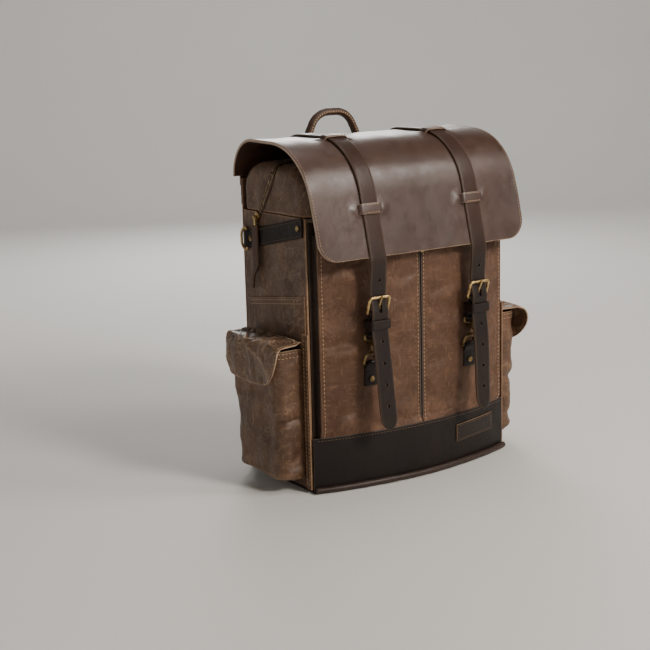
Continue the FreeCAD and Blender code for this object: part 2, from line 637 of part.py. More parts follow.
def make_front_ring():
    """Brass ring held to the pocket by a riveted leather tab."""
    x = -STRAP_X
    face = arc_y(STRAP_X, POCKET_HALF_W, POCKET_EDGE_Y, POCKET_MID_Y)
    bar = (-87.6, 144.0)
    up = unit(bar, CROOK)
    tall = math.dist(bar, CROOK)

    def place(p):
        return V(x + p[0], bar[0] + up[0] * p[1], bar[1] + up[1] * p[1])

    outline = [(0, 0), (-11, 0), (-11, tall), (11, tall), (11, 0), (0, 0)]
    pair("front_ring", wire_form(outline, [2, 7, 7, 2], 1.5, place))
    tab_y = face - 3.6
    tab = band("YZ", [(tab_y, 118.0), (tab_y, 140.0)], [], 2.2, x - 9, x + 9)
    curl = rod(3.5, (x - 9, *bar), (x + 9, *bar))
    filler = prism("YZ", [(tab_y - 1.1, 136.0), (bar[0] - 3.4, bar[1]), (bar[0], bar[1]),
                          (tab_y + 1.1, 140.0)], x - 9, x + 9)
    plate = box(x - 9, x + 9, tab_y + 1.1, face - 0.9, 118.0, 134.0)
    tab = tab.fuse([curl, filler, plate]).cut(rod(1.5 + CLOSE, (x - 10, *bar), (x + 10, *bar)))
    both("front_tabs", tab.removeSplitter())
    return [rod(3.2, (x, tab_y - 2.4, 126.0), (x, tab_y - 1.1, 126.0))]


# ---------------------------------------------------------------- handle and rack loops

def make_handle():
    y, z = HANDLE_PIVOT
    low = z - 3
    shoulder = HANDLE_TOP - 6

    def place(p):
        return V(p[0], y, p[1])

    outline = [(-HANDLE_X, low), (-HANDLE_X, shoulder - 22), (-22, HANDLE_TOP), (22, HANDLE_TOP),
               (HANDLE_X, shoulder - 22), (HANDLE_X, low)]
    grip = wire_form(outline, [26, 26, 26, 26], HANDLE_R, place)
    pins = [rod(2.0, (s * HANDLE_X - 10, y, z), (s * HANDLE_X + 10, y, z)) for s in (-1, 1)]
    parts["grab_handle"] = grip.fuse(pins).removeSplitter()
    points, radii = lid_path(LEATHER / 2 + CLOSE + 1.1)
    strip = band("YZ", [points[0], points[1], (30.0, points[1][1])], [radii[0]], 2.2,
                 HANDLE_X - 10, HANDLE_X + 10)
    strip = strip.common(box(0, 100, 0, 120, 349, 378))
    lugs = []
    for x in (HANDLE_X - 10, HANDLE_X + 6.5):
        lug = prism("YZ", [(73.2, z - 6), (y + 1, z - 4.5), (y + 3.6, z), (y + 1, z + 4.5), (72.4, z + 6)],
                    x, x + 3.5)
        lugs.append(lug)
    tab = strip.fuse(lugs).cut(parts["lid"]).cut(rod(2.0 + 0.08, (0, y, z), (60, y, z)))
    both("handle_tabs", tab.removeSplitter())


def make_rack_loops():
    cy, cz = RACK_AXIS
    r = RACK_R + RACK_STRAP_T / 2
    wall_y = HALF_D + CLOSE + RACK_STRAP_T / 2
    top = (wall_y, cz + 14.5)
    path = [(wall_y, 298.0), top, (cy + 0.2, cz + r), (cy + r, cz + r), (cy + r, cz - r),
            (cy + 0.2, cz - r), (wall_y, cz - 14.5), (wall_y, 226.0)]
    strap = band("YZ", path, [3, 3, r, r, 3, 3], RACK_STRAP_T, -RACK_X - RACK_STRAP_W / 2,
                 -RACK_X + RACK_STRAP_W / 2)
    strap = strap.cut(rod(RACK_R, (-200, cy, cz), (200, cy, cz)))
    both("rack_loops", strap)
    face = wall_y + RACK_STRAP_T / 2
    return [rod(3.4, (-RACK_X + dx, face, z), (-RACK_X + dx, face + 1.4, z))
            for z in (288.0, 236.0) for dx in (-6, 6)]


def main():
    make_carcass()
    make_front_pocket()
    make_front_slider()
    make_collar()
    make_main_slider()
    rivets = make_side_strap()
    make_side_pocket()
    make_lid()
    make_keepers()
    make_strap()
    make_buckle()
    make_chape()
    make_hook()
    rivets += make_front_ring()
    make_handle()
    rivets += make_rack_loops()
    parts["rivets"] = Part.Compound(rivets + [mirrored(r) for r in rivets])
    os.makedirs("parts", exist_ok=True)
    for old in os.listdir("parts"):
        os.remove(os.path.join("parts", old))
    total = None
    for name, shape in sorted(parts.items()):
        solids = shape.Solids
        good = shape.isValid() and solids and min(s.Volume for s in solids) > 0
        print(f"{name:24s} solids {len(solids)} volume {shape.Volume:10.1f} {'ok' if good else 'BAD'}")
        shape.exportStep(f"parts/{name}.step")
        total = shape.BoundBox if total is None else total.united(shape.BoundBox)
    print("nodes", len(parts), "box", total)


main()
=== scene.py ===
"""Waxed canvas and leather saddlebag: the looks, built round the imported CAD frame."""
import bpy
import bmesh
import math
import numpy as np
from mathutils import Matrix, Vector, noise


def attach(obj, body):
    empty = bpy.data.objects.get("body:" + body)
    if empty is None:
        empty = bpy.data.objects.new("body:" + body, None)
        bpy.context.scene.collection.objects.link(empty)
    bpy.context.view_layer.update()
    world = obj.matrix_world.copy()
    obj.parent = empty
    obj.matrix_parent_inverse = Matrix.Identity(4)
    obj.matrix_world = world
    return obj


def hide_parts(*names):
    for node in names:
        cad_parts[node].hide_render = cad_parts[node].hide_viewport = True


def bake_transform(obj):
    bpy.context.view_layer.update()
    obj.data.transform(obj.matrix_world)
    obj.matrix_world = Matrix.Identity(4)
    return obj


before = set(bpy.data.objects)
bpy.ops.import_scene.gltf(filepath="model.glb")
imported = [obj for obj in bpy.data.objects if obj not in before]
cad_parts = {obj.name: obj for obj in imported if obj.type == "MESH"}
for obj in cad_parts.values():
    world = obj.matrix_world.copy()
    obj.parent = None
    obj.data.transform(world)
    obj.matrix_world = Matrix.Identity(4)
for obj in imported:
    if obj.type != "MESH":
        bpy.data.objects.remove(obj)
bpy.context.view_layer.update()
MM = 0.001


# ------------------------------------------------------------------ camera, light and floor

def new_object(name, data):
    made = bpy.data.objects.new(name, data)
    bpy.context.scene.collection.objects.link(made)
    return made


def look_rotation(forward, roll):
    """Rotation matrix rows of a camera looking along forward, rolled about it."""
    forward = Vector(forward).normalized()
    right = forward.cross(Vector((0, 0, 1))).normalized()
    up = right.cross(forward)
    c, s = math.cos(roll), math.sin(roll)
    return (right * c + up * s), (up * c - right * s), -forward


def placed(x, y, z, at):
    """The matrix of an object with those axes, at that point."""
    return Matrix([(*row, p) for row, p in zip(zip(x, y, z), at)] + [(0, 0, 0, 1)])


# The camera's place, its turn from straight ahead, tilt down and roll in degrees, and its lens
CAMERA_PLACE, CAMERA_TURNS = (-0.93198, -1.24994, 0.49638), (34.478, 12.024, -1.5)
CAMERA_LENS, CAMERA_SENSOR = 73.83, 36.0


def make_camera():
    azimuth, elevation, roll = (math.radians(turn) for turn in CAMERA_TURNS)
    forward = (math.sin(azimuth) * math.cos(elevation), math.cos(azimuth) * math.cos(elevation),
               -math.sin(elevation))
    x, y, z = look_rotation(forward, roll)
    data = bpy.data.cameras.new("camera")
    data.lens, data.sensor_width = CAMERA_LENS, CAMERA_SENSOR
    data.clip_start, data.clip_end = 0.05, 30
    camera = new_object("camera", data)
    camera.matrix_world = placed(x, y, z, CAMERA_PLACE)
    bpy.context.scene.camera = camera


def area_light(name, place, target, size, power, colour):
    data = bpy.data.lights.new(name, "AREA")
    data.shape, data.size, data.energy, data.color = "DISK", size, power, colour
    axes = look_rotation(Vector(target) - Vector(place), 0)
    new_object(name, data).matrix_world = placed(*axes, place)


MIDDLE = (0, 0, 0.2)
# Lamps: place, what it points at, size, power, colour
LAMPS = {
    "key": ((0.45, -1.70, 1.35), MIDDLE, 0.5, 33, (1.0, 0.93, 0.86)),
    "shoulder": ((0.78, -0.86, 1.36), (-0.08, -0.05, 0.35), 0.42, 8.5, (1.0, 0.93, 0.87)),
    "fill": ((-1.7, -0.9, 0.9), MIDDLE, 1.6, 0.5, (0.95, 0.97, 1.0)),
    "top": ((0.25, 0.35, 1.9), MIDDLE, 1.0, 7, (1.0, 0.98, 0.95)),
    "rim": ((0.9, 1.6, 1.0), MIDDLE, 0.9, 16, (1.0, 0.98, 0.95)),
}
BACKDROP_DEGREES = (55, 145, 235, 325)
# The floor is a round dish: how far and high it goes, the radius of its bend, steps in it and round
DISH_REACH, DISH_RISE, DISH_BEND, DISH_STEPS, DISH_AROUND = 4.6, 3.4, 2.2, 18, 96


def make_lamps():
    for name, values in LAMPS.items():
        area_light(name, *values)
    for degrees in BACKDROP_DEGREES:
        x, y = math.cos(math.radians(degrees)), math.sin(math.radians(degrees))
        area_light(f"backdrop_{degrees}", (2.1 * x, 2.1 * y, 2.3), (4.2 * x, 4.2 * y, 0.5), 1.6, 33,
                   (1.0, 0.99, 0.97))
    world = bpy.data.worlds.new("studio")
    world.use_nodes = True
    background = world.node_tree.nodes["Background"]
    background.inputs["Color"].default_value = (0.80, 0.79, 0.77, 1)
    background.inputs["Strength"].default_value = 0.03
    bpy.context.scene.world = world


def make_floor():
    flat, around = DISH_REACH - DISH_BEND, DISH_AROUND
    profile = [(0.4, 0.0), (flat, 0.0)]
    profile += [(flat + DISH_BEND * math.sin(a), DISH_BEND - DISH_BEND * math.cos(a))
                for a in np.linspace(0, math.pi / 2, DISH_STEPS)[1:]]
    profile.append((DISH_REACH, DISH_RISE))
    verts, faces = [(0.0, 0.0, 0.0)], []
    for out, z in profile:
        verts += [(out * math.cos(a), out * math.sin(a), z)
                  for a in np.linspace(0, 2 * math.pi, around, endpoint=False)]
    for k in range(around):
        after = (k + 1) % around
        faces.append((0, 1 + k, 1 + after))
        for level in range(len(profile) - 1):
            low, high = 1 + level * around, 1 + (level + 1) * around
            faces.append((low + k, high + k, high + after, low + after))
    mesh = bpy.data.meshes.new("floor")
    mesh.from_pydata(verts, [], faces)
    mesh.shade_smooth()
    floor = new_object("floor", mesh)
    m = Material("floor", (0.70, 0.685, 0.66), 0.75)
    cloud = m.add("TexNoise", Scale=9.0, Detail=4.0).outputs["Fac"]
    m.set(Base_Color=m.mix(cloud, (0.67, 0.655, 0.63), (0.73, 0.715, 0.69)))
    mesh.materials.append(m.material)


# ------------------------------------------------------------------ materials

class Material:
    """A node material in the making; its patterns sit in the object's own space, in metres."""

    def __init__(self, name, colour, roughness, metallic=0.0):
        self.material = bpy.data.materials.new(name)
        self.material.use_nodes = True
        self.shader = self.material.node_tree.nodes["Principled BSDF"]
        self.set(Base_Color=colour, Roughness=roughness, Metallic=metallic)
        self.place = self.add("TexCoord").outputs["Object"]

    def feed(self, socket, value):
        """Gives a socket a number, a colour or another node's output."""
        if isinstance(value, bpy.types.NodeSocket):
            self.material.node_tree.links.new(value, socket)
        else:
            socket.default_value = (*value, 1) if socket.type == "RGBA" else value

    def set(self, node=None, **values):
        """Sets inputs of a node, or of the shader; names starting with p_ are its own properties."""
        node = node or self.shader
        for key, value in values.items():
            if key.startswith("p_"):
                setattr(node, key[2:], value)
            else:
                self.feed(node.inputs[key.replace("_", " ")], value)

    def add(self, kind, **values):
        node = self.material.node_tree.nodes.new("ShaderNode" + kind)
        self.set(node, **values)
        return node

    def ramp(self, value, start, low, end, high):
        """Greys from low at start to high at end."""
        node = self.add("ValToRGB", Fac=value)
        for element, at, grey in zip(node.color_ramp.elements, (start, end), (low, high)):
            element.position, element.color = at, (grey, grey, grey, 1)
        return node.outputs["Color"]

    def math(self, operation, a, b, clamp=False):
        node = self.add("Math", p_operation=operation, p_use_clamp=clamp)
        self.feed(node.inputs[0], a)
        self.feed(node.inputs[1], b)
        return node.outputs["Value"]

    def mix(self, factor, a, b, blend="MIX"):
        """Colour mix; a and b are outputs or colours."""
        node = self.add("Mix", p_data_type="RGBA", p_blend_type=blend)
        for socket, value in ((0, factor), (6, a), (7, b)):
            self.feed(node.inputs[socket], value)
        return node.outputs[2]

    def noise(self, scale, detail=2.0, roughness=0.5, place=None):
        return self.add("TexNoise", Vector=place or self.place, Scale=scale, Detail=detail,
                        Roughness=roughness).outputs["Fac"]

    def wave(self, scale, direction, distortion=0.0):
        return self.add("TexWave", Vector=self.place, Scale=scale, Distortion=distortion,
                        p_bands_direction=direction).outputs["Fac"]

    def cells(self, scale, feature, place=None):
        return self.add("TexVoronoi", Vector=place or self.place, Scale=scale,
                        p_feature=feature).outputs["Distance"]

    def bent(self):
        """High where the surface is a ridge, low where it is a hollow."""
        return self.add("NewGeometry").outputs["Pointiness"]

    def warped(self, scale, amount):
        """The place moved about by a noise, so that patterns on it wander."""
        wobble = self.add("TexNoise", Vector=self.place, Scale=scale, Detail=3.0)
        shift = self.add("VectorMath", p_operation="SCALE", Vector=wobble.outputs["Color"], Scale=amount)
        total = self.add("VectorMath", p_operation="ADD", Vector=self.place)
        self.feed(total.inputs[1], shift.outputs[0])
        return total.outputs[0]

    def bumps(self, *layers):
        """Chained bumps from (height, strength, distance in metres)."""
        normal = {}
        for height, strength, distance in layers:
            node = self.add("Bump", Strength=strength, Distance=distance, Height=height, **normal)
            normal = {"Normal": node.outputs["Normal"]}
        self.set(**normal)


def canvas_material(name, dark, light, pale, crease_scale=26.0, weave=0.16, veins=0.22, wax=0.0):
    """Waxed cotton: mottled brown, pale lines where the wax has cracked, a fine plain weave."""
    m = Material(name, light, 0.62)
    cloud, fine = m.noise(22.0, 6.0, 0.62), m.noise(420.0)
    base = m.mix(m.ramp(cloud, 0.30, 0.0, 0.72, 1.0), dark, light)
    base = m.mix(0.22, base, m.ramp(fine, 0.3, 0.35, 0.7, 1.0), "MULTIPLY")
    lines = [m.ramp(m.cells(scale, "DISTANCE_TO_EDGE", m.warped(scale * 0.7, drift)), 0.0, 1.0, width, 0.0)
             for scale, width, drift in ((crease_scale, 0.035, 0.09), (crease_scale * 2.4, 0.03, 0.05))]
    lines = m.mix(0.55, *lines, "ADD")
    lines = m.mix(1.0, lines, m.ramp(m.noise(13.0), 0.48, 0.0, 0.68, veins), "MULTIPLY")
    for number, stretch in enumerate(((1.0, 1.0, 0.16), (0.2, 0.5, 1.0))):
        drawn = m.add("Mapping", Vector=m.warped(45.0, 0.012), Scale=stretch,
                      Location=(number * 3.1, 1.7, 0.4))
        hair = m.noise(330.0, 3.0, place=drawn.outputs["Vector"])
        lines = m.mix(1.0, lines, m.ramp(hair, 0.58, 0.0, 0.80, 0.50 - 0.16 * number), "LIGHTEN")
    bloom = m.noise(75.0, 7.0, 0.7)
    lines = m.mix(1.0, lines, m.ramp(bloom, 0.55, 0.0, 0.85, 0.5), "LIGHTEN")
    lines = m.mix(1.0, lines, m.ramp(m.bent(), 0.505, 0.0, 0.57, 0.55), "ADD")
    m.set(Base_Color=m.mix(lines, base, pale),
          Roughness=m.ramp(m.noise(55.0, 3.0), 0.3, 0.48 - wax, 0.7, 0.72 - wax),
          Specular_IOR_Level=0.30 + 1.2 * wax, Sheen_Weight=0.05, Sheen_Roughness=0.5)
    warp, weft, third = (m.wave(260.0, direction, 0.6) for direction in "XYZ")
    woven = m.math("MULTIPLY", m.math("MAXIMUM", warp, weft), third)
    m.bumps((woven, weave, 0.0004), (fine, 0.18, 0.0005), (cloud, 0.25, 0.004), (lines, 0.25, 0.0012))
    return m.material


def leather_material(name, dark, light, edge, roughness, grain, coat, gloss=0.25, upper=None):
    """Oiled pull-up leather: fine pores, slow colour changes, scuffs, paler worn edges.

    upper is a paler colour for what lies high up on the lid, above a set height.
    """
    m = Material(name, light, roughness)
    mottle = m.noise(60.0, 5.0, 0.65)
    both = m.mix(0.38, m.noise(9.0, 5.0, 0.6), mottle)
    base = m.mix(m.ramp(both, 0.30, 0.0, 0.70, 1.0), dark, light)
    if upper:
        height = m.add("SeparateXYZ", Vector=m.place).outputs["Z"]
        above = m.math("MULTIPLY", height, 2.5, clamp=True)
        base = m.mix(m.ramp(above, 0.60, 0.0, 0.74, 1.0), base, upper)
    drawn = m.add("Mapping", Vector=m.warped(30.0, 0.02), Scale=(1.0, 0.22, 0.3), Rotation=(0.3, 0.5, 0.7))
    scratch = m.noise(210.0, place=drawn.outputs["Vector"])
    base = m.mix(m.ramp(scratch, 0.68, 0.0, 0.80, 0.10), base, edge)
    rim = m.add("Attribute", p_attribute_name="edge").outputs["Fac"]
    worn = m.mix(1.0, m.ramp(m.bent(), 0.53, 0.0, 0.66, 0.45), rim, "LIGHTEN")
    m.set(Base_Color=m.mix(worn, base, edge),
          Roughness=m.ramp(mottle, 0.3, roughness - 0.07, 0.72, roughness + 0.13),
          Specular_IOR_Level=gloss, Coat_Weight=coat, Coat_Roughness=0.32)
    m.bumps((m.cells(900.0, "SMOOTH_F1"), grain, 0.0003), (m.noise(240.0, 4.0, 0.6), grain, 0.0006),
            (mottle, 0.12, 0.0015))
    return m.material


def metal_material(name, bright, dull, roughness):
    """Old brass: dull brown film in the hollows, polished where it rubs."""
    m = Material(name, bright, roughness, 1.0)
    film = m.noise(190.0, 6.0, 0.7)
    m.set(Base_Color=m.mix(m.ramp(film, 0.38, 0.0, 0.62, 1.0), dull, bright),
          Roughness=m.ramp(film, 0.3, roughness + 0.22, 0.7, roughness - 0.06))
    m.bumps((m.noise(700.0, 3.0), 0.12, 0.0003))
    return m.material


def thread_material(name, dark, light):
    m = Material(name, light, 0.7)
    m.set(Base_Color=m.mix(m.noise(900.0, 3.0), dark, light))
    m.bumps((m.wave(700.0, "DIAGONAL"), 0.4, 0.0003))
    return m.material


# Woven goods: name, dark, light and pale colours, how small the creases are, weave, veins, wax
CANVASES = {
    "canvas": ("waxed_canvas", (0.066, 0.030, 0.0155), (0.128, 0.062, 0.0325), (0.27, 0.155, 0.088)),
    "canvas_side": ("waxed_canvas_crumpled", (0.048, 0.022, 0.0105), (0.140, 0.069, 0.034),
                    (0.46, 0.275, 0.15), 34.0, 0.16, 0.36, 0.10),
    "flap": ("waxed_canvas_flap", (0.052, 0.024, 0.0112), (0.165, 0.084, 0.043), (0.70, 0.48, 0.30),
             30.0, 0.16, 0.66, 0.16),
    # The gusset canvas is painted shade: a far darker copy of the canvas for the recess beside the front pocket and
    # for the inner front wall
    "gusset": ("waxed_canvas_shaded", (0.018, 0.0095, 0.006), (0.036, 0.019, 0.0115),
               (0.075, 0.045, 0.027), 26.0, 0.16, 0.1),
    "lining": ("cotton_lining", (0.20, 0.15, 0.095), (0.30, 0.235, 0.15), (0.34, 0.28, 0.2), 20.0, 0.3),
    "zip_edge": ("main_zip_tape", (0.030, 0.0115, 0.008), (0.060, 0.023, 0.015), (0.11, 0.05, 0.03),
                 26.0, 0.4),
    "tape": ("zip_tape", (0.022, 0.013, 0.009), (0.040, 0.025, 0.017), (0.08, 0.055, 0.04), 26.0, 0.4),
}

# Leathers: name, dark, light and edge colours, roughness, grain, coat, gloss, colour on the lid
LEATHERS = {
    "lid": ("lid_leather", (0.031, 0.0135, 0.008), (0.067, 0.031, 0.019), (0.42, 0.29, 0.20),
            0.40, 0.16, 0.22, 0.5),
    "strap": ("strap_leather", (0.0085, 0.005, 0.0038), (0.018, 0.0105, 0.0078), (0.125, 0.08, 0.054),
              0.43, 0.20, 0.04, 0.24, (0.038, 0.018, 0.0115)),
    "band": ("band_leather", (0.0065, 0.0042, 0.0034), (0.0135, 0.0085, 0.0066), (0.075, 0.05, 0.035),
             0.52, 0.30, 0.0),
    "piping": ("piping_leather", (0.022, 0.013, 0.010), (0.048, 0.030, 0.023), (0.16, 0.105, 0.075),
               0.42, 0.3, 0.05),
    "patch": ("patch_leather", (0.0085, 0.0052, 0.0040), (0.017, 0.0105, 0.0080), (0.22, 0.14, 0.08),
              0.44, 0.24, 0.04),
    "handle": ("handle_leather", (0.030, 0.0165, 0.0110), (0.075, 0.042, 0.027), (0.34, 0.22, 0.14),
               0.45, 0.3, 0.05),
    "pull": ("pull_leather", (0.035, 0.015, 0.009), (0.085, 0.038, 0.022), (0.50, 0.235, 0.11),
             0.45, 0.3, 0.05),
}

# Brasses: name, bright and dull colours, roughness
METALS = {
    "brass": ("antique_brass", (0.66, 0.48, 0.22), (0.27, 0.17, 0.07), 0.30),
    "dark_brass": ("dark_brass", (0.30, 0.22, 0.13), (0.10, 0.07, 0.045), 0.42),
    # The third brass is partly a darker film and partly painted shade: a darker copy of the brass for the hooks, rings
    # and rivets that lie in the straps' shadow
    "aged_and_shaded_brass": ("aged_and_shaded_brass", (0.38, 0.27, 0.12), (0.10, 0.065, 0.034), 0.36),
}

# Fibres: name, dark and light colours
THREADS = {
    "thread": ("tan_thread", (0.36, 0.21, 0.11), (0.62, 0.42, 0.25)),
    "dark_thread": ("brown_thread", (0.09, 0.05, 0.03), (0.19, 0.115, 0.07)),
    "board": ("board", (0.025, 0.022, 0.02), (0.05, 0.045, 0.04)),
}

MATERIALS = {}


def make_materials():
    for make, table in ((canvas_material, CANVASES), (leather_material, LEATHERS),
                        (metal_material, METALS), (thread_material, THREADS)):
        MATERIALS.update({key: make(*values) for key, values in table.items()})


# ------------------------------------------------------------------ paths and surfaces

def unit(v):
    v = np.asarray(v, float)
    return v / np.maximum(np.linalg.norm(v, axis=-1, keepdims=True), 1e-12)


def rounded_path(points, radii, step):
    """Points about step apart along straight runs joined by arcs of those radii, in 2D."""
    points = [np.array(p, float) for p in points]
    out = [points[0]]

    def run_to(end):
        count = max(1, int(round(np.linalg.norm(end - out[-1]) / step)))
        first = out[-1]
        out.extend(first + (end - first) * k / count for k in range(1, count + 1))

    for before, corner, after, radius in zip(points, points[1:], points[2:], radii):
        d1, d2 = unit(corner - before), unit(after - corner)
        turn = math.atan2(d1[0] * d2[1] - d1[1] * d2[0], float(d1 @ d2))
        back = radius * math.tan(abs(turn) / 2)
        t1 = corner - d1 * back
        if np.linalg.norm(t1 - out[-1]) > step * 0.2:
            run_to(t1)
        side = 1 if turn > 0 else -1
        centre = t1 + side * radius * np.array((-d1[1], d1[0]))
        count = max(2, int(round(abs(turn) * radius / step)))
        a0 = math.atan2(*(t1 - centre)[::-1])
        for k in range(1, count + 1):
            a = a0 + turn * k / count
            out.append(centre + radius * np.array((math.cos(a), math.sin(a))))
    run_to(points[-1])
    return np.array(out)


def run_along(path):
    """The distance along the path at each of its points."""
    return np.concatenate(([0], np.cumsum(np.linalg.norm(np.diff(path, axis=0), axis=1))))


def point_at(place, run, path):
    """What a table of values along a path is at that distance."""
    return np.array([np.interp(place, run, column) for column in path.T])


def upright(line, x):
    """A line of (y, z) as points at that x."""
    return np.column_stack((np.full(len(line), x), line))


def resample(path, count):
    """The path with count evenly spaced points."""
    run = run_along(path)
    return point_at(np.linspace(0, run[-1], count), run, path).T


def surface(u, v, point):
    """The grid of the points (x, y, z) that point(u, v) gives, turned from millimetres to metres."""
    gu, gv = np.meshgrid(u, v, indexing="ij")
    return np.stack(np.broadcast_arrays(*point(gu, gv)), -1) * MM


def grid_normals(grid):
    return unit(np.cross(np.gradient(grid, axis=0), np.gradient(grid, axis=1)))


def facing(grid, outward):
    """The grid's normals, on the side that looks outward."""
    normals = grid_normals(grid)
    return -normals if (normals * outward).sum(-1).mean() < 0 else normals


def double(grid):
    """Twice as fine a grid, through the same points."""
    for axis in (0, 1):
        g = np.moveaxis(grid, axis, 0)
        before = np.concatenate((2 * g[:1] - g[1:2], g))[:-1]
        after = np.concatenate((g[1:], 2 * g[-1:] - g[-2:-1]))
        after2 = np.concatenate((after[1:], after[-1:]))
        middle = (-before + 9 * g + 9 * after - after2)[:-1] / 16
        out = np.empty((2 * len(g) - 1,) + g.shape[1:])
        out[0::2], out[1::2] = g, middle
        grid = np.moveaxis(out, 0, axis)
    return grid


def sample_noise(grid, scale, offset, ridged=False):
    """A smooth noise at each point of the grid, or one with sharp ridges."""
    flat = grid.reshape(-1, 3) * scale + np.asarray(offset)
    if ridged:
        values = [noise.ridged_multi_fractal(Vector(p), 0.9, 2.1, 3.0, 1.0, 2.0) for p in flat]
    else:
        values = [noise.fractal(Vector(p), 0.8, 2.1, 4.0) for p in flat]
    return np.array(values).reshape(grid.shape[:-1])


def crumple(grid, normals, big, small, scale=16.0, seed=0.0, hold=None):
    """Moves the grid along its normals: slow swells of size big, sharp creases of size small."""
    warp = np.stack([sample_noise(grid, 11.0, (seed + k * 7.1, 3.3, k)) for k in range(3)], -1)
    moved = grid + warp * 0.018
    swell = sample_noise(grid, scale * 0.6, (seed, seed + 2.0, 5.0))
    ridge = sample_noise(moved, scale, (seed + 4.0, 1.0, seed), True)
    ridge = np.clip(ridge - 0.9, -0.4, 1.6)
    amount = swell * big + ridge * small
    if hold is not None:
        amount = amount * hold
    return grid + normals * amount[..., None]


def edge_hold(shape, rows):
    """1 inside a grid and falling to 0 at its edges, over that many rows at each side."""
    nu, nv = shape[:2]
    u, v = np.arange(nu)[:, None], np.arange(nv)[None, :]
    hold = np.ones((nu, nv))
    for distance, width in zip((u + 0 * v, nu - 1 - u + 0 * v, v + 0 * u, nv - 1 - v + 0 * u), rows):
        if width:
            t = np.clip(distance / width, 0, 1)
            hold *= t * t * (3 - 2 * t)
    return hold


# ------------------------------------------------------------------ mesh makers

def grid_quads(nu, nv):
    """The faces of a grid of nu by nv points, by point number."""
    index = np.arange(nu * nv).reshape(nu, nv)
    return np.stack([index[:-1, :-1], index[1:, :-1], index[1:, 1:], index[:-1, 1:]], -1).reshape(-1, 4)


def tube_faces(rings, sides, first=0):
    """The faces of a closed tube made of rings of points, with a cap at each end."""
    faces = []
    for i in range(rings - 1):
        low, high = first + i * sides, first + (i + 1) * sides
        for j in range(sides):
            after = (j + 1) % sides
            faces.append((low + j, low + after, high + after, high + j))
    last = first + (rings - 1) * sides
    faces.append(tuple(first + j for j in range(sides)))
    faces.append(tuple(last + j for j in range(sides))[::-1])
    return faces


def add_piece(name, verts, faces, material, body, replaces=(), edge=None):
    mesh = bpy.data.meshes.new(name)
    mesh.from_pydata([tuple(map(float, v)) for v in verts], [], [tuple(map(int, f)) for f in faces])
    work = bmesh.new()
    work.from_mesh(mesh)
    bmesh.ops.recalc_face_normals(work, faces=work.faces)
    work.to_mesh(mesh)
    work.free()
    mesh.shade_smooth()
    if edge is not None:
        worn = mesh.attributes.new("edge", "FLOAT", "POINT")
        worn.data.foreach_set("value", np.asarray(edge, np.float32))
    return place_piece(name, mesh, material, body, replaces)


def place_piece(name, mesh, material, body, replaces=()):
    piece = new_object(name, mesh)
    piece.data.materials.clear()
    piece.data.materials.append(MATERIALS[material])
    if body is not None:
        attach(piece, body)
    if replaces:
        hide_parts(*replaces)
    return piece


def slab(name, grid, thick, material, body, replaces=(), rim=0.35, normals=None):
    """A closed sheet with rounded edges round a grid of mid-surface points."""
    nu, nv = grid.shape[:2]
    if normals is None:
        normals = grid_normals(grid)
    loop = [(0, j) for j in range(nv)] + [(i, nv - 1) for i in range(1, nu)]
    loop += [(nu - 1, j) for j in range(nv - 2, -1, -1)] + [(i, 0) for i in range(nu - 2, 0, -1)]
    rows = np.array([i for i, _ in loop])
    cols = np.array([j for _, j in loop])
    border, n = grid[rows, cols], normals[rows, cols]
    inner = grid[np.clip(rows, 1, nu - 2), np.clip(cols, 1, nv - 2)]
    out = border - inner
    out = unit(out - n * (out * n).sum(1, keepdims=True))
    half = thick / 2
    top, bottom = grid + normals * half, grid - normals * half
    draw = min(half, 0.9 * float(np.linalg.norm(border - inner, axis=1).min()))
    top[rows, cols] -= out * draw
    bottom[rows, cols] -= out * draw
    rings = [border + n * half * math.sin(a) - out * draw * (1 - math.cos(a))
             for a in (math.radians(50), 0.0, math.radians(-50))]
    verts = np.concatenate([top.reshape(-1, 3), bottom.reshape(-1, 3)] + rings)
    index = np.arange(nu * nv).reshape(nu, nv)
    faces = grid_quads(nu, nv)
    faces = [tuple(f) for f in faces] + [tuple(f[::-1] + nu * nv) for f in faces]
    k = len(loop)
    chain = [index[rows, cols]] + [2 * nu * nv + r * k + np.arange(k) for r in range(3)]
    chain.append(index[rows, cols] + nu * nv)
    for a, b in zip(chain, chain[1:]):
        a2, b2 = np.roll(a, -1), np.roll(b, -1)
        faces += list(zip(a, b, b2, a2))
    edge = np.zeros(len(verts))
    edge[2 * nu * nv:] = rim
    return add_piece(name, verts, faces, material, body, replaces, edge)


def strip(name, path, normals, half_width, thick, material, body, replaces=(), rim=0.4, crown=0.0):
    """A leather strip with rounded edges along a path; half_width may change along it."""
    tangent = unit(np.gradient(path, axis=0))
    normal = unit(normals - tangent * (normals * tangent).sum(1, keepdims=True))
    side = np.cross(tangent, normal)
    half_width = np.broadcast_to(np.asarray(half_width, float), (len(path),))
    half = thick / 2
    flats, turns = np.linspace(-1, 1, 9), [math.radians(a) for a in (50, 0, -50)]
    # Round the strip's section: how far along the core and past it, how high, whether on the rim
    across = [(a, 0.0, 1.0, 0.25 * rim * (abs(a) == 1)) for a in flats]
    across += [(1, math.cos(a), math.sin(a), rim) for a in turns]
    across += [(a, 0.0, -1.0, 0.25 * rim * (abs(a) == 1)) for a in -flats]
    across += [(-1, math.cos(a), math.sin(a), rim) for a in turns[::-1]]
    verts = []
    for p, n, s, w in zip(path, normal, side, half_width):
        core = max(w - half * 0.9, 1e-5)
        for a, past, height, _ in across:
            x = a * (core + half * 0.9 * past)
            verts.append(p + s * x + n * (height * half + crown * (1 - min(1.0, (x / w) ** 2))))
    edge = [on_rim for *_, on_rim in across] * len(path)
    faces = tube_faces(len(path), len(across))
    return add_piece(name, verts, faces, material, body, replaces, edge)


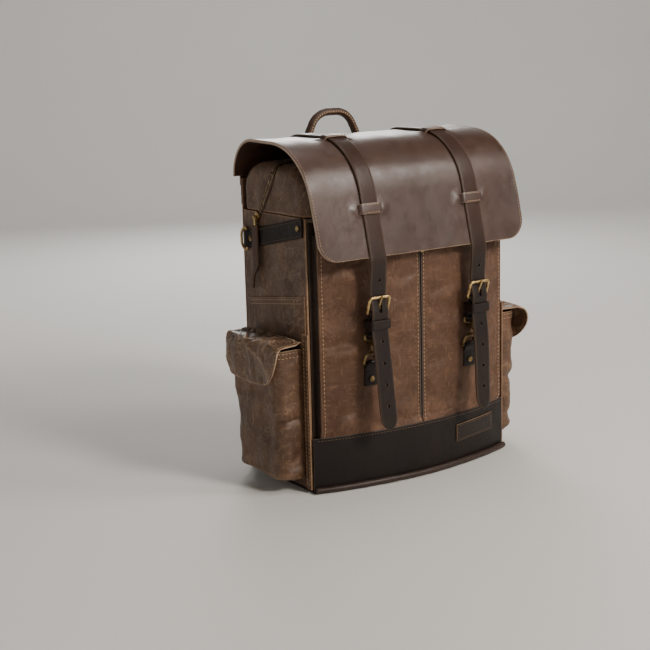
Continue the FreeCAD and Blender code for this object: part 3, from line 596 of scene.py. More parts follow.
def tube(name, path, radius, material, body, replaces=(), sides=14, squash=((0, 0, 1), 1.0)):
    """A tube along a path; radius may change along it. squash is an axis and how oval it is."""
    tangent = unit(np.gradient(path, axis=0))
    up, oval = squash
    a = unit(np.cross(tangent, up))
    b = np.cross(a, tangent)
    radius = np.broadcast_to(np.asarray(radius, float), (len(path),))
    angles = np.arange(sides) * 2 * math.pi / sides
    ring = (a[:, None] * np.cos(angles)[None, :, None] + b[:, None] * oval * np.sin(angles)[None, :, None])
    verts = (path[:, None] + ring * radius[:, None, None]).reshape(-1, 3)
    return add_piece(name, verts, tube_faces(len(path), sides), material, body, replaces)


# One stitch: place along it, how thick it is there, and how high above the surface
STITCH_SHAPE = ((0, 0.35, -0.6), (0.18, 0.9, 0.25), (0.5, 1.0, 0.45), (0.82, 0.9, 0.25), (1, 0.35, -0.6))
# Sewing: thread radius, stitch length and gap, in metres
LID_SEWING, LOOP_SEWING = (0.00032, 0.0024, 0.0011), (0.00034, 0.0024, 0.0008)
FRONT_SEWING, SIDE_SEWING = (0.00042, 0.0030, 0.0016), (0.00038, 0.0029, 0.0016)
BACK_SEWING, BASE_SEWING = (0.0004, 0.0030, 0.0017), (0.00036, 0.0027, 0.0013)
HANDLE_SEWING, STRAP_SEWING = (0.0004, 0.0022, 0.0012), (0.00038, 0.0029, 0.0015)


def stitches(name, rows, material, body, sewing, slant=0.0):
    """Short thread capsules along each (path, normals) row, sitting on the surface."""
    size, stitch, gap = sewing
    verts, faces = [], []
    sides = 6
    angles = np.arange(sides) * 2 * math.pi / sides
    for path, normals in rows:
        run = run_along(path)
        count = max(1, int(run[-1] / (stitch + gap)))
        for c in range(count):
            start = (c + 0.5) * run[-1] / count - stitch / 2
            a, b = point_at(start, run, path), point_at(start + stitch, run, path)
            n = unit(point_at(start + stitch / 2, run, normals))
            along = unit(b - a)
            side = np.cross(along, n)
            a, b = a - side * slant, b + side * slant
            along = unit(b - a)
            side = unit(np.cross(along, n))
            base = len(verts)
            for t, r, drop in STITCH_SHAPE:
                p = a + (b - a) * t + n * size * drop
                for angle in angles:
                    verts.append(p + (side * math.cos(angle) + n * math.sin(angle) * 0.8) * size * r)
            faces += tube_faces(len(STITCH_SHAPE), sides, base)
    return add_piece(name, verts, faces, material, body)


def softened(name, nodes, material, body, voxel=0.0007, smooth=3, rough=0.00012):
    """A leather piece shaped by its CAD solids, with worn round edges and an uneven surface."""
    work = bmesh.new()
    for node in nodes:
        work.from_mesh(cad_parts[node].data)
    mesh = bpy.data.meshes.new(name)
    work.to_mesh(mesh)
    work.free()
    piece = place_piece(name, mesh, material, body, nodes)
    remesh = piece.modifiers.new("remesh", "REMESH")
    remesh.mode, remesh.voxel_size = "VOXEL", voxel
    round_off = piece.modifiers.new("round", "SMOOTH")
    round_off.iterations, round_off.factor = smooth, 0.6
    apply_modifiers(piece)
    points = read_points(piece.data)
    lift = sample_noise(points[:, None], 190.0, (1.0, 2.0, 3.0))[:, 0]
    write_points(piece.data, points + read_points(piece.data, "normal") * (lift * rough)[:, None])
    piece.data.shade_smooth()
    return piece


def read_points(mesh, what="co"):
    values = np.zeros(len(mesh.vertices) * 3)
    mesh.vertices.foreach_get(what, values)
    return values.reshape(-1, 3)


def write_points(mesh, points):
    mesh.vertices.foreach_set("co", points.ravel())
    mesh.update()


def apply_modifiers(piece):
    bpy.context.view_layer.update()
    graph = bpy.context.evaluated_depsgraph_get()
    mesh = bpy.data.meshes.new_from_object(piece.evaluated_get(graph))
    old = piece.data
    piece.modifiers.clear()
    piece.data = mesh
    mesh.name = old.name
    if old.users == 0:
        bpy.data.meshes.remove(old)


# ------------------------------------------------------------------ cloth

def simulate(jobs, frames=18):
    """Lets several grids swell as cloth together, without gravity; their edges stay pinned.

    Each job is a dict with grid, normals, pressure, shrink, cap and pin (an array of weights).
    """
    objects = []
    for k, job in enumerate(jobs):
        grid = job["grid"]
        mesh = bpy.data.meshes.new(f"cloth_{k}")
        start = crumple(grid, job["normals"], 0.0012, 0.0008, 22.0, 3.0 + k, 1 - job["pin"])
        mesh.from_pydata([tuple(p) for p in start.reshape(-1, 3)], [],
                         [tuple(map(int, q)) for q in grid_quads(*grid.shape[:2])])
        cloth_object = new_object(f"cloth_{k}", mesh)
        group = cloth_object.vertex_groups.new(name="pin")
        for i, weight in enumerate(job["pin"].ravel()):
            if weight > 0:
                group.add([i], float(weight), "REPLACE")
        cloth = cloth_object.modifiers.new("cloth", "CLOTH")
        settings = cloth.settings
        settings.quality, settings.mass, settings.air_damping = 6, 0.25, 4.0
        settings.tension_stiffness, settings.compression_stiffness = 25, 25
        settings.shear_stiffness, settings.bending_stiffness = 8, job.get("bend", 1.2)
        settings.use_pressure = True
        sign = 1 if (grid_normals(grid) * job["normals"]).sum() > 0 else -1
        settings.uniform_pressure_force = sign * job["pressure"]
        settings.shrink_min = job["shrink"]
        settings.vertex_group_mass = "pin"
        settings.effector_weights.gravity = 0.0
        cloth.collision_settings.use_collision = False
        cloth.point_cache.frame_end = frames + 2
        objects.append(cloth_object)
    for number in range(1, frames + 1):
        bpy.context.scene.frame_set(number)
    graph = bpy.context.evaluated_depsgraph_get()
    results = []
    for cloth_object, job in zip(objects, jobs):
        mesh = cloth_object.evaluated_get(graph).to_mesh()
        moved = read_points(mesh).reshape(job["grid"].shape) - job["grid"]
        size = np.linalg.norm(moved, axis=-1, keepdims=True)
        limit = job["cap"] * np.tanh(size / job["cap"])
        results.append(job["grid"] + moved / np.maximum(size, 1e-9) * limit)
    for cloth_object in objects:
        mesh = cloth_object.data
        bpy.data.objects.remove(cloth_object)
        bpy.data.meshes.remove(mesh)
    bpy.context.scene.frame_set(1)
    return results


# ------------------------------------------------------------------ design sizes, in millimetres

LID_HALF_W, LID_CORNER_R, LID_T = 146.0, 24.0, 3.2
# The lid's profile in (y, z): its root, its flat top, where that bends down, its front edge, the bends
LID_BACK, LID_TOP, LID_CORNER_Y, LID_EDGE = (71.9, 347.0), 388.4, -68.5, (-99.45, 264.6)
LID_RADII = (41.4, 73.4)
# The straps: place, width, thickness, and their run in (y, z) below the lid, with its bends
STRAP_X, STRAP_W, STRAP_T = 72.0, 22.0, 3.0
STRAP_RUN = [(-103.9, 260.0), (-100.9, 222.0), (-105.6, 203.0), (-103.6, 190.0), (-118.5, 73.0)]
STRAP_RUN_RADII = [25, 16, 9, 14]
STRAP_TIP = 17.0
STRAP_RISE = LID_T / 2 + 0.1 + STRAP_T / 2
SIDES = ((-1, "left"), (1, "right"))
# How thick the cloth and leather pieces are
FRONT_T, BACK_T, POCKET_T, SLIP_T, LINING_T, BAND_T, PATCH_T = 2.4, 2.6, 1.7, 1.2, 0.8, 3.2, 1.7
# Where the side panels, slip pockets and pocket bindings lie, out from the middle
SIDE_X, SLIP_X, BINDING_X = 138.6, 140.6, 142.2
# The grab handle: half the distance between its feet, its y, the height of its feet and of their pins
HANDLE_X, HANDLE_Y, HANDLE_FOOT_Z, HANDLE_PIN_Z, HANDLE_OVAL = 36, 81.5, 353.5, 357.0, 1.12
# The side pockets: x of the wall they are sewn to, top and bottom of the front
POCKET_X, POCKET_TOP, POCKET_FOOT = -142.4, 165, 20
LEFT, FRONT, UP = np.array((-1.0, 0, 0)), np.array((0, -1.0, 0)), np.array((0, 0, 1.0))


def lid_line(rise, step=3.0, tail=()):
    """The lid's centre line in (y, z), moved outwards by rise, with an optional run after it."""
    d = unit((LID_CORNER_Y - LID_EDGE[0], LID_TOP - LID_EDGE[1]))
    edge = (LID_EDGE[0] - d[1] * rise, LID_EDGE[1] + d[0] * rise)
    top = LID_TOP + rise
    corner = (edge[0] + d[0] / d[1] * (top - edge[1]), top)
    back = LID_BACK[0] + rise
    points = [(back, LID_BACK[1]), (back, top), corner]
    radii = [r + rise for r in LID_RADII]
    if len(tail):
        return rounded_path(points + list(tail), radii + STRAP_RUN_RADII, step)
    return rounded_path(points + [edge], radii, step)


def line_normals(line):
    t = unit(np.gradient(line, axis=0))
    return np.stack([t[:, 1], -t[:, 0]], axis=1)


def loop_places():
    """Where the four strap loops sit: distance along the lid from its back edge."""
    line = lid_line(0)
    run = run_along(line)
    upper = run[np.argmin(np.abs(line[:, 0] + 21.9) + 1000 * (line[:, 1] < 370))]
    front = run[-1] - 53.0
    return upper, front


def lid_bump(x, s):
    """The lid's surface rises in a pucker beside every strap loop, with creases round it."""
    total = np.zeros(np.broadcast(x, s).shape)
    for place in loop_places():
        for side in (-1, 1):
            for end in (-1, 1):
                dx = x - side * STRAP_X - end * (STRAP_W / 2 + 7.5)
                ds = s - place
                total = total + 1.5 * np.exp(-(dx / 5.5) ** 2 - (ds / 7.5) ** 2)
                crease = np.cos(ds / 1.9 + end * dx / 2.4 + side)
                total = total + 0.55 * (crease * np.exp(-(dx / 6.5) ** 2 - (ds / 9.0) ** 2))
    return total


def make_lid():
    line = lid_line(0, 3.0)
    run = run_along(line)
    length = run[-1]
    near = LID_CORNER_R * (1 - np.cos(np.linspace(0, math.pi / 2, 10)))
    s = np.concatenate((np.linspace(0, length - LID_CORNER_R, 52), length - near[::-1][1:]))
    inset = np.maximum(0, s - (length - LID_CORNER_R))
    half = LID_HALF_W - LID_CORNER_R + np.sqrt(np.maximum(LID_CORNER_R ** 2 - inset ** 2, 0))
    across = np.sin(np.linspace(-1, 1, 91) * math.pi / 2 * 0.86) / math.sin(math.pi / 2 * 0.86)
    y = np.interp(s, run, line[:, 0])
    z = np.interp(s, run, line[:, 1])
    x = half[:, None] * across[None, :]
    grid = np.stack([x, y[:, None] + 0 * x, z[:, None] + 0 * x], -1)
    normals = facing(grid, UP)
    big = sample_noise(grid * MM, 9.0, (4.0, 1.0, 2.0)) * 1.3
    front = np.clip((s - 0.45 * length) / (0.55 * length), 0, 1)[:, None]
    sag = -1.1 * np.cos(grid[..., 0] / STRAP_X * math.pi) * front * 0.55
    free = np.clip((np.abs(grid[..., 0]) - 118) / 28, 0, 1) ** 2
    lift = 1.6 * free * np.sin(s / length * 9.0)[:, None]
    amount = big * 0.6 + sag + lift + lid_bump(grid[..., 0], s[:, None] + 0 * x)
    hold = np.clip(s / 40, 0, 1)[:, None]
    grid = grid + normals * (amount * hold)[..., None]
    grid = double(grid)
    normals = facing(grid, UP)
    slab("lid_leather", grid * MM, LID_T * MM, "lid", "lid", ["lid"], 0.9, normals=normals)
    # The seam runs round three sides, this many grid rows and columns in from the edges
    nu, nv = grid.shape[:2]
    start, low, side_in = 8, nu - 3, 4
    path = [(i, side_in) for i in range(start, low)] + [(low, j) for j in range(side_in, nv - side_in)]
    path += [(i, nv - 1 - side_in) for i in range(low, start - 1, -1)]
    i, j = np.array(path).T
    seam = (grid + normals * (LID_T / 2))[i, j] * MM
    stitches("lid_stitches", [(seam, normals[i, j])], "thread", "lid", LID_SEWING)
    sheet = surface(np.linspace(336, 347.4, 9), np.linspace(-138, 138, 60), lambda z, x: (x, 72.1, z))
    hinge = slab("lid_hinge", sheet, 2.4 * MM, "lid", None)
    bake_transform(hinge)


def make_loops():
    """Four leather loops sewn to the lid, each arching over a strap."""
    line = lid_line(0, 2.0)
    run = run_along(line)
    out = line_normals(line)
    half = STRAP_W / 2 + 1.2
    for which, place in zip(("upper", "front"), loop_places()):
        centre = point_at(place, run, line)
        n = unit(point_at(place, run, out))
        normal3 = np.array((0, n[0], n[1]))
        along3 = np.array((0, -n[1], n[0]))
        rows = []
        for side, word in SIDES:
            x = np.linspace(-half - 5, half + 5, 61)
            low = -1.0
            t = np.clip((half + 4.6 - np.abs(x)) / 5.4, 0, 1)
            high = LID_T / 2 + STRAP_T + 1.25 + 0.5 * (1 - (x / half) ** 2)
            height = low + (high - low) * t ** 0.8 * (1.8 - 0.8 * t)
            path = np.stack([x + side * STRAP_X, 0 * x, 0 * x], 1)
            path = path + np.array((0, *centre)) + height[:, None] * normal3
            width = 6.2 - 1.2 * np.clip((np.abs(x) - half + 1) / 5, 0, 1)
            strip(f"lid_loop_{which}_{word}", path * MM, np.tile(normal3, (len(x), 1)), width * MM,
                  1.7 * MM, "lid", "lid", crown=0.25 * MM)
            for end in (-1, 1):
                base = path[30] + normal3 * 0.98 + along3 * end * 4.4
                row = np.stack([base - (half - 2, 0, 0), base + (half - 2, 0, 0)])
                rows.append((row * MM, np.tile(normal3, (2, 1))))
        piece = stitches(f"lid_loop_stitches_{which}", rows, "thread", "lid",
                         LOOP_SEWING)
        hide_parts(f"lid_keepers_{which}")


def cut_holes(piece, centres, radius, depth):
    """Holes along y at each (centre, how many times longer than wide)."""
    work = bmesh.new()
    turn = Vector((0, 0, 1)).rotation_difference(Vector((0, 1, 0))).to_matrix().to_4x4()
    for centre, stretch in centres:
        made = bmesh.ops.create_cone(work, cap_ends=True, segments=20, radius1=radius, radius2=radius,
                                     depth=depth, matrix=turn)
        for v in made["verts"]:
            v.co.z *= stretch
            v.co += Vector(centre)
    mesh = bpy.data.meshes.new("cutter")
    work.to_mesh(mesh)
    work.free()
    cutter = new_object("cutter", mesh)
    boolean = piece.modifiers.new("holes", "BOOLEAN")
    boolean.operation, boolean.solver, boolean.object = "DIFFERENCE", "EXACT", cutter
    apply_modifiers(piece)
    bpy.data.objects.remove(cutter)
    bpy.data.meshes.remove(mesh)


def make_straps():
    for side, word in SIDES:
        line = lid_line(STRAP_RISE, 2.2, STRAP_RUN)
        line = resample(line, int(run_along(line)[-1] / 2.2))
        path = upright(line, side * STRAP_X)
        free = np.clip((185 - path[:, 2]) / 112, 0, 1) * (path[:, 1] < -60)
        path[:, 0] += free ** 1.6 * (2.0 if side < 0 else -5.0)
        path[:, 1] += -1.4 * np.sin(free * 6.0) * free
        path[:, 1] += 0.35 * np.sin(path[:, 2] / 17.0 + side) * free
        n2 = line_normals(line)
        normals = np.stack([0.10 * side * free ** 2, n2[:, 0], n2[:, 1]], 1)
        run = run_along(path)
        left = run[-1] - run
        t = np.clip(1 - left / STRAP_TIP, 0, 1)
        width = STRAP_W / 2 * np.sqrt(np.maximum(1 - t ** 2.3, 0.012))
        piece = strip(f"long_strap_{word}", path * MM, normals, width * MM, STRAP_T * MM, "strap", "lid",
                      [f"strap_{word}"], 0.55, crown=0.25 * MM)
        holes = []
        for z in (100, 124, 148, 172, 240):
            k = np.argmin(np.abs(path[:, 2] - z) + 1000 * (path[:, 1] > -60))
            holes.append((path[k] * MM, 1.0))
        cut_holes(piece, holes, 1.75 * MM, 14 * MM)
        slot = np.array((side * STRAP_X, -103.5, 210.0)) * MM
        cut_holes(piece, [(slot, 2.9)], 2.3 * MM, 14 * MM)


# ------------------------------------------------------------------ front pocket and base

# Arcs of the front in plan: half width, y at the edge, y in the middle
BAND_ARC, POCKET_ARC = (140, -67.5, -90.5), (132, -74, -86)


def arc_radius(half, edge, middle):
    sagitta = edge - middle
    return (half ** 2 + sagitta ** 2) / (2 * sagitta)


def arc_y(x, half, edge, middle):
    radius = arc_radius(half, edge, middle)
    return middle + radius - np.sqrt(radius ** 2 - x ** 2)


def band_y(x):
    return arc_y(x, *BAND_ARC)


def pocket_y(x):
    return arc_y(x, *POCKET_ARC)


# Soft folds across the front: height at the middle, slope, where along x, how high they stand
FRONT_FOLDS = [(172, 0.13, 82, 2.6), (150, -0.08, 100, 1.7), (86, 0.05, 95, 2.8), (78, -0.04, 50, 1.6),
               (205, 0.14, 34, 1.3), (118, 0.18, 30, 1.5), (232, -0.1, 104, 1.6)]


def front_job(side):
    """One half of the front pocket, tucked in behind the base band at its foot."""
    def point(x, z):
        y = pocket_y(x) + 1.25
        tuck = np.clip((72 - z) / 12, 0, 1)
        return x, y + (band_y(x) + 2.2 - y) * tuck * tuck * (3 - 2 * tuck), z

    grid = surface(np.linspace(-132, -0.8, 46) * -side, np.linspace(60, 288, 78), point)
    normals = facing(grid, FRONT)
    pin = 1 - edge_hold(grid.shape, (5, 4, 4, 6))
    return {"grid": grid, "normals": normals, "pressure": 0.9, "shrink": -0.008, "cap": 0.0034,
            "pin": pin, "bend": 6.0}


def finish_canvas(grid, outward, big, small, scale, seed, rows=(4, 4, 4, 4), fine=True, calm=0.0):
    """Twice the grid, with creases pressed into it; outward is the side that shows.

    The first part of the second axis, up to the fraction calm, stays nearly flat.
    """
    grid = double(grid)
    if fine:
        grid = double(grid)
        rows = tuple(2 * r for r in rows)
    normals = facing(grid, outward)
    hold = 0.25 + 0.75 * edge_hold(grid.shape, tuple(2 * r for r in rows))
    if calm:
        hold = hold * np.clip((np.linspace(0, 1, grid.shape[1]) - calm) / 0.2 + 1, 0.05, 1)[None, :]
    grid = crumple(grid, normals, big, small, scale, seed, hold)
    return grid, facing(grid, outward)


def edge_row(grid, normals, axis, distance, thick, ends=(0.004, 0.004)):
    """A stitch row parallel to one edge: axis 0 or 1, distance in metres from its low or high side."""
    g, n = (grid, normals) if axis == 0 else (np.swapaxes(grid, 0, 1), np.swapaxes(normals, 0, 1))
    if distance < 0:
        g, n = g[::-1], n[::-1]
    middle = g[:, g.shape[1] // 2]
    run = run_along(middle)
    at = np.interp(abs(distance), run, np.arange(len(run)))
    k = min(int(at), len(run) - 2)
    f = at - k
    row = g[k] * (1 - f) + g[k + 1] * f
    normal = unit(n[k] * (1 - f) + n[k + 1] * f)
    row = row + normal * (thick / 2 + 0.00015)
    along = run_along(row)
    keep = (along >= ends[0]) & (along <= along[-1] - ends[1])
    return row[keep], normal[keep]


def make_front(results):
    thick = FRONT_T * MM
    rows = []
    for (side, word), grid in zip(SIDES, results):
        for bottom, lean, width, height in FRONT_FOLDS:
            x, z = grid[..., 0] / MM, grid[..., 2] / MM
            middle = bottom + lean * x + 4.0 * np.sin(x / 19.0 + bottom)
            reach = np.exp(-((x - side * width) / 46.0) ** 2)
            reach = reach * (1 - 0.85 * np.exp(-((np.abs(x) - STRAP_X) / 15.0) ** 2))
            hold = edge_hold(grid.shape, (6, 6, 6, 6))
            fold = height * np.exp(-((z - middle) / 6.5) ** 2) - 0.7 * height * np.exp(
                -((z - middle - 11) / 8.0) ** 2)
            grid[..., 1] -= fold * reach * hold * MM
        grid, normals = finish_canvas(grid, FRONT, 0.0011, 0.00045, 15.0, 2.0 + side, (3, 2, 3, 3))
        slab(f"front_canvas_{word}", grid, thick, "canvas", "bag", [f"front_pocket_{word}"], 0.0,
             normals=normals)
        outer = 1 if abs(grid[0, 0, 0]) > abs(grid[-1, 0, 0]) else -1
        rows.append(edge_row(grid, normals, 0, outer * 4.2 * MM, thick))
        rows.append(edge_row(grid, normals, 0, -outer * 3.6 * MM, thick))
        tape = surface(np.linspace(side * 2.9, side * 9.0, 4), np.linspace(64, 287, 60),
                       lambda x, z: (x, -83.4, z))
        slab(f"front_zip_tape_{word}", tape, LINING_T * MM, "tape", "bag")
    stitches("front_canvas_stitches", rows, "thread", "bag", FRONT_SEWING)
    # The gusset gets the darker canvas, painted shade for its recess
    softened("front_gusset", ["front_pocket_gusset"], "gusset", "bag", 0.0011, 2, 0.0003)


def make_base():
    grid = surface(np.linspace(-139.8, 139.8, 120), np.linspace(3.2, 63.5, 26),
                   lambda x, z: (x, band_y(x) + 1.6, z))
    swell = sample_noise(grid, 14.0, (1.0, 6.0, 3.0)) * 0.5
    grid[..., 1] += (swell - 0.8 * np.sin((grid[..., 2] / MM - 3) / 60 * math.pi)) * MM
    grid = double(grid)
    normals = facing(grid, FRONT)
    slab("base_band", grid, BAND_T * MM, "band", "bag", ["front_base_band"], 0.8, normals=normals)
    rows = [edge_row(grid, normals, 1, -3.2 * MM, BAND_T * MM)]
    patch = surface(np.linspace(49.5, 114.5, 40), np.linspace(29, 50, 16),
                    lambda x, z: (x, band_y(x) - 1.7, z + (x - 49) * 0.03))
    normals = facing(patch, FRONT)
    slab("sewn_patch", patch, PATCH_T * MM, "patch", "bag", ["base_patch"], 0.9, normals=normals)
    for axis, distance in ((0, 2.4), (0, -2.4), (1, 2.4), (1, -2.4)):
        rows.append(edge_row(patch, normals, axis, distance * MM, PATCH_T * MM, (0.0024, 0.0024)))
    stitches("base_stitches", rows, "dark_thread", "bag", BASE_SEWING)
    radius = arc_radius(*BAND_ARC)
    run = radius + 3.0
    span = math.asin(BAND_ARC[0] / run)
    a = np.linspace(-span, span, 130)
    path = np.stack([run * np.sin(a), BAND_ARC[2] + radius - run * np.cos(a),
                     3.8 + 0.5 * np.sin(a * 11) ** 2], 1)
    tube("bottom_piping", path * MM, (3.6 + 0.12 * np.sin(a * 90)) * MM, "piping", "bag", ["base_piping"])
    softened("underside", ["base_panel"], "band", "bag", 0.0014, 1, 0.00005)


# ------------------------------------------------------------------ sides and back

def plane_grid(side, y0, y1, z0, z1, x, step=4.0, top=None):
    """A grid on a side plane; top may be a function of y giving the upper edge."""
    return surface(np.linspace(y0, y1, int((y1 - y0) / step) + 1),
                   np.linspace(0, 1, int((z1 - z0) / step) + 1),
                   lambda y, v: (side * x, y, z0 + ((top(y) if top else z1) - z0) * v))


def slip_top(y):
    return 213.0 - (y - 16.5) * 0.145


def make_side(side, word):
    outward = np.array((side, 0.0, 0.0))
    body = plane_grid(side, -63, 64, 3.2, 309.6, SIDE_X)
    grid, normals = finish_canvas(body, outward, 0.0009, 0.0008, 20.0, 11.0 + side, fine=False)
    slab(f"side_canvas_{word}", grid, FRONT_T * MM, "canvas_side", "bag", [f"side_panel_{word}"], 0.0,
         normals=normals)
    slip = plane_grid(side, -60, 58, 24, 213, SLIP_X, 3.5, slip_top)
    slip[..., 0] += side * 0.0010 * np.sin(np.linspace(0, math.pi, slip.shape[0]))[:, None] \
        * np.linspace(0, 1, slip.shape[1])[None, :] ** 8
    grid, normals = finish_canvas(slip, outward, 0.0002, 0.0003, 22.0, 31.0 + side, fine=False)
    piece = slab(f"slip_canvas_{word}", grid, SLIP_T * MM, "canvas_side", "bag", (), 0.0, normals=normals)
    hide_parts("slip_pockets")
    rows = [edge_row(grid, normals, 1, -d * MM, SLIP_T * MM) for d in (3.0, 7.5)]
    y, z = -44.0, slip_top(-44.0) - 4.8
    for dz in (-0.5, 0.7):
        bar = [(side * BINDING_X, y + dy, z + dz - 0.15 * dy) for dy in (-6, 6)]
        rows.append((np.array(bar) * MM, np.tile(outward, (2, 1))))
    binding = plane_grid(side, -66.0, -55.8, 4, 182, BINDING_X, 3.2)
    grid, normals = finish_canvas(binding, outward, 0.0004, 0.0004, 26.0, 41.0 + side, fine=False)
    slab(f"pocket_binding_{word}", grid, POCKET_T * MM, "canvas_side", "bag", (), 0.0, normals=normals)
    rows += [edge_row(grid, normals, 0, d * MM, POCKET_T * MM) for d in (2.4, 7.8)]
    stitches(f"side_stitches_{word}", rows, "thread", "bag", SIDE_SEWING)


def make_back_and_inside():
    grid = surface(np.linspace(-139.6, 139.6, 71), np.linspace(3.2, 344.6, 86), lambda x, z: (x, 66.0, z))
    back = np.array((0, 1.0, 0))
    made, normals = finish_canvas(grid, back, 0.0008, 0.0006, 17.0, 51.0, fine=False)
    made[..., 1] = np.minimum(made[..., 1], 0.0663)
    slab("back_canvas", made, BACK_T * MM, "canvas", "bag", ["back_panel"], 0.0, normals=normals)
    rows = [edge_row(made, normals, axis, d * MM, BACK_T * MM) for axis in (0, 1) for d in (6.0, -6.0)]
    stitches("back_stitches", rows, "thread", "bag", BACK_SEWING)
    wall = grid[:, : int(grid.shape[1] * 0.895)].copy()
    wall[..., 0] *= 136.6 / 139.6
    wall[..., 1] = -0.0618
    made, normals = finish_canvas(wall, -back, 0.0006, 0.0005, 17.0, 61.0, fine=False)
    # The inner front wall gets the darker canvas, painted shade for the inside of the bag
    slab("inner_front_canvas", made, FRONT_T * MM, "gusset", "bag", ["front_wall"], 0.0, normals=normals)
    x1, y0, y1 = 136.2, -59.6, 61.4
    outline = rounded_path([(0, y0), (x1, y0), (x1, y1), (-x1, y1), (-x1, y0), (0, y0)], [5.0] * 4, 5.0)
    grid = surface(np.arange(len(outline)), np.linspace(7.5, 308.4, 60), lambda k, z: (*outline[k].T, z.T))
    grid = np.swapaxes(grid, 0, 1)
    grid = crumple(grid, grid_normals(grid), 0.0010, 0.0006, 15.0, 71.0, 0.3)
    slab("lining_wall", grid, LINING_T * MM, "lining", "bag", ["lining"], 0.0)
    floor = surface(np.linspace(-135.5, 135.5, 60), np.linspace(-59, 61, 30), lambda x, y: (x, y, 7.3))
    floor = crumple(floor, np.broadcast_to(UP, floor.shape), 0.0006, 0.0004, 15.0, 77.0)
    slab("lining_floor", floor, LINING_T * MM, "lining", "bag")


DOME_CENTRE = (0, 0, 0.27)


def canvas_from_cad(name, nodes, body, seed):
    """A canvas shell shaped by its CAD solid, both faces moved together by the same creases."""
    piece = softened(name, nodes, "canvas_side", body, 0.0013, 2, 0.0)
    points = read_points(piece.data)
    away = unit((points - np.array(DOME_CENTRE)) * np.array((0.6, 1.0, 1.0)))
    write_points(piece.data, crumple(points[:, None], away[:, None], 0.0012, 0.0011, 19.0, seed)[:, 0])
    return piece


def make_collar():
    front = canvas_from_cad("collar_canvas_front", ["collar_front", "collar_sides"], None, 5.0)
    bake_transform(front)
    canvas_from_cad("collar_canvas_back", ["collar_back"], "bag", 5.0)
    for side, word in SIDES:
        path = rounded_path([(38.0, 293.5), (-3.0, 354.5)], [], 3.0)
        path = upright(path, side * 140.3)
        strip(f"main_zip_tape_{word}", path * MM, np.tile((float(side), 0.0, 0.0), (len(path), 1)),
              5.2 * MM, 0.7 * MM, "zip_edge", "bag", rim=0.0)


# ------------------------------------------------------------------ side pockets

# Dents in the pocket: distance round its plan from the back, height, reach along and up, depth
POCKET_DENTS = [(128, 84, 26, 4.0, -3.2), (126, 96, 22, 5.5, 2.2), (122, 52, 26, 20, 3.0),
                (98, 70, 14, 26, -1.8), (70, 112, 24, 7, -2.4), (62, 60, 20, 24, 2.2),
                (88, 128, 30, 6, 1.8), (34, 84, 16, 22, -1.8), (112, 22, 40, 4.5, 2.4),
                (118, 36, 30, 4.0, -1.6), (50, 24, 34, 5.0, 2.0), (84, 40, 8, 24, 1.8)]


def pocket_job():
    """The left pocket's wall: round its three free sides and in under the bottom."""
    out_x, back_y, front_y = -174.0, 42.0, -52.0
    plan = rounded_path([(POCKET_X, back_y), (out_x, back_y), (out_x, front_y), (POCKET_X, front_y)],
                        [13, 13], 3.4)
    z = np.linspace(POCKET_TOP, POCKET_FOOT, 44)
    rows = []
    for level in z:
        lean = (level - 18) / 147
        out = (plan[:, 0] - POCKET_X) / (out_x - POCKET_X)
        x = POCKET_X - out * (27.5 + 8.5 * lean)
        rows.append(np.stack([x, plan[:, 1], np.full(len(plan), level)], 1))
    for t in (0.10, 0.30, 0.52, 0.76, 1.0):
        foot = rows[len(z) - 1]
        x = foot[:, 0] + (POCKET_X - foot[:, 0]) * t
        low = np.full(len(foot), POCKET_FOOT - 4.0 * t ** 0.5)
        rows.append(np.stack([x, foot[:, 1] * (1 - 0.02 * t), low], 1))
    grid = np.stack(rows, 1) * MM
    normals = facing(grid, LEFT)
    pin = 1 - edge_hold(grid.shape, (3, 3, 3, 2))
    run = np.linspace(0, run_along(plan)[-1], len(plan))[:, None]
    level = grid[..., 2] / MM
    for along, height, wide, tall, lift in POCKET_DENTS:
        slope = level - height - 0.16 * (run - along)
        dent = np.exp(-((run - along) / wide) ** 2 - (slope / tall) ** 2)
        grid = grid + normals * (lift * MM * dent * (1 - pin) ** 0.5)[..., None]
    return {"grid": grid, "normals": normals, "pressure": 1.6, "shrink": -0.06, "cap": 0.0062,
            "pin": pin, "bend": 0.8}


# Ridges in the flap: from and to, as distance out from its root and place along it, and height
FLAP_RIDGES = [((16, 34), (44, -4), 1.9), ((44, -4), (52, -40), 2.2), ((40, 30), (66, 40), 1.8),
               ((44, -4), (74, -14), 1.6), ((30, -20), (50, -34), 1.2)]


